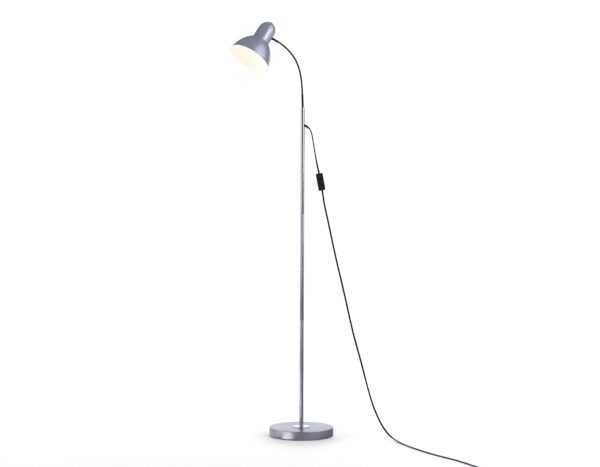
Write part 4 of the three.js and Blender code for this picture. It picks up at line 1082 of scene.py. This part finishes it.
# Studio: a white floor that fades into the white room, soft lights out of sight

WHITE = (1, 1, 1, 1)
PALE_FLOOR = (0.9, 0.9, 0.9, 1)
DULL_FLOOR = (0.23, 0.23, 0.24, 1)
WARM = (1, 0.98, 0.86)
WARM_SPIN = -37
COOL = (0.93, 0.92, 1)


def camera_sees(tree, seen, mirrored):
    """Shows one shader to the camera and the other to every other ray."""
    rays = tree.nodes.new("ShaderNodeLightPath")
    either = tree.nodes.new("ShaderNodeMixShader")
    output = next(n for n in tree.nodes if n.type.startswith("OUTPUT"))
    tree.links.new(rays.outputs["Is Camera Ray"], either.inputs["Fac"])
    tree.links.new(mirrored, either.inputs[1])
    tree.links.new(seen, either.inputs[2])
    tree.links.new(either.outputs["Shader"], output.inputs["Surface"])


def pale_floor():
    """White floor whose edge fades out, so that it has no horizon. Metal mirrors a duller floor than the
    one that is seen, as with a small white sheet in a dark studio."""
    pale = Finish("studio_floor", 0.6, Base_Color=PALE_FLOOR, Emission_Color=WHITE, Emission_Strength=0.02)
    x, y, _ = pale.split(pale.place)
    pale.feed("Alpha", 1 - ((x * x + y * y) ** 0.5).between(0.95, 1.9))
    dull = pale.node("ShaderNodeBsdfDiffuse", None, {"Color": DULL_FLOOR})["BSDF"]
    camera_sees(pale.tree, pale.shader.outputs["BSDF"], dull.socket)
    return pale.material


floor_mesh = bpy.data.meshes.new("studio_floor")
floor_mesh.from_pydata([(-2, -2, 0), (2, -2, 0), (2, 2, 0), (-2, 2, 0)], [], [(0, 1, 2, 3)])
floor_mesh.materials.append(pale_floor())
floor = added("studio_floor", floor_mesh)


def soft_light(name, at, aim, size, power, colour=(1, 1, 1), spin=0):
    """A rectangular soft box at a place in metres, facing a point, out of the camera's sight. The spin in
    degrees turns it about its own axis."""
    lamp = bpy.data.lights.new(name, "AREA")
    lamp.shape = "RECTANGLE"
    lamp.size, lamp.size_y = size
    lamp.energy = power
    lamp.color = colour
    made = added(name, lamp)
    way = Vector(at) - Vector(aim)
    made.matrix_world = move(*at) @ way.to_track_quat("Z", "Y").to_matrix().to_4x4() @ turn(spin, "Z")
    made.visible_camera = False
    return made


def floor_card(name, at, *more):
    """A soft box that lies on the floor and faces up, which the metal mirrors."""
    soft_light(name, at, (*at[:2], 1), *more)


for light in [
    ("left_panel", (-2.55, -0.4, 1.12), (0, 0, 1.1), (2.4, 1.35), 19.5),
    ("left_low_panel", (-2.55, -0.4, 0.22), (0, 0, 0.2), (2.4, 0.42), 2),
    ("left_front_panel", (-1.75, -1.85, 0.45), (0, 0, 0.4), (1.2, 0.5), 1.8),
    ("front_low_panel", (0, -5.2, 0.3), (0, 0, 0.4), (6, 0.9), 4.2),
    ("right_front_panel", (1.77, -1.77, 1.6), (0, 0, 1.3), (1.9, 1.7), 20),
    ("right_panel", (2.1, -0.5, 2.6), (0, 0, 1.4), (2.4, 2.4), 17),
    ("right_low_panel", (2.5, -0.1, 0.7), (0, 0, 0.7), (2.2, 1.1), 5.3),
    ("back_wall", (-0.2, 3.2, 0.9), (-0.2, 0, 0.9), (5.2, 2.2), 36),
]:
    soft_light(*light)
floor_card("left_card", (-1, -0.75, 0.004), (1.3, 1.3), 6.2)
floor_card("side_card", (-0.235, 0, 0.003), (0.27, 0.23), 0.11)
floor_card("left_near_card", (-0.25, -0.43, 0.004), (0.3, 0.3), 0.48)
floor_card("warm_near_card", (-0.08, -0.129, 0.004), (0.085, 0.052), 0.0216, WARM, WARM_SPIN)
floor_card("warm_card", (-0.155, -0.19, 0.004), (0.11, 0.1), 0.072, WARM, WARM_SPIN)
floor_card("cool_card", (0, -0.23, 0.002), (0.4, 0.26), 0.05, COOL)
for light in [
    ("floor_fill", (0, 3.2, 0.8), (0, 0, 0), (3, 0.9), 130),
    ("left_floor_fill", (-3.2, 0.8, 0.7), (0, 0, 0), (3, 0.8), 44),
    ("right_floor_fill", (3.2, 0.8, 0.7), (0, 0, 0), (3, 0.8), 44),
    ("overhead_fill", (0, -1.1, 3.4), (0, -0.5, 0), (2.4, 2.4), 34),
]:
    soft_light(*light).visible_glossy = False

room = bpy.data.worlds.new("studio_room")
scene.world = room
room.use_nodes = True
room_nodes = room.node_tree.nodes
dim = next(n for n in room_nodes if n.type == "BACKGROUND")
dim.inputs["Color"].default_value = (0.93, 0.94, 1, 1)
dim.inputs["Strength"].default_value = 0.22
white = room_nodes.new("ShaderNodeBackground")
white.inputs["Color"].default_value = WHITE
white.inputs["Strength"].default_value = 1.05
camera_sees(room.node_tree, white.outputs["Background"], dim.outputs["Background"])

scene.view_settings.view_transform = "Standard"
scene.view_settings.look = "None"
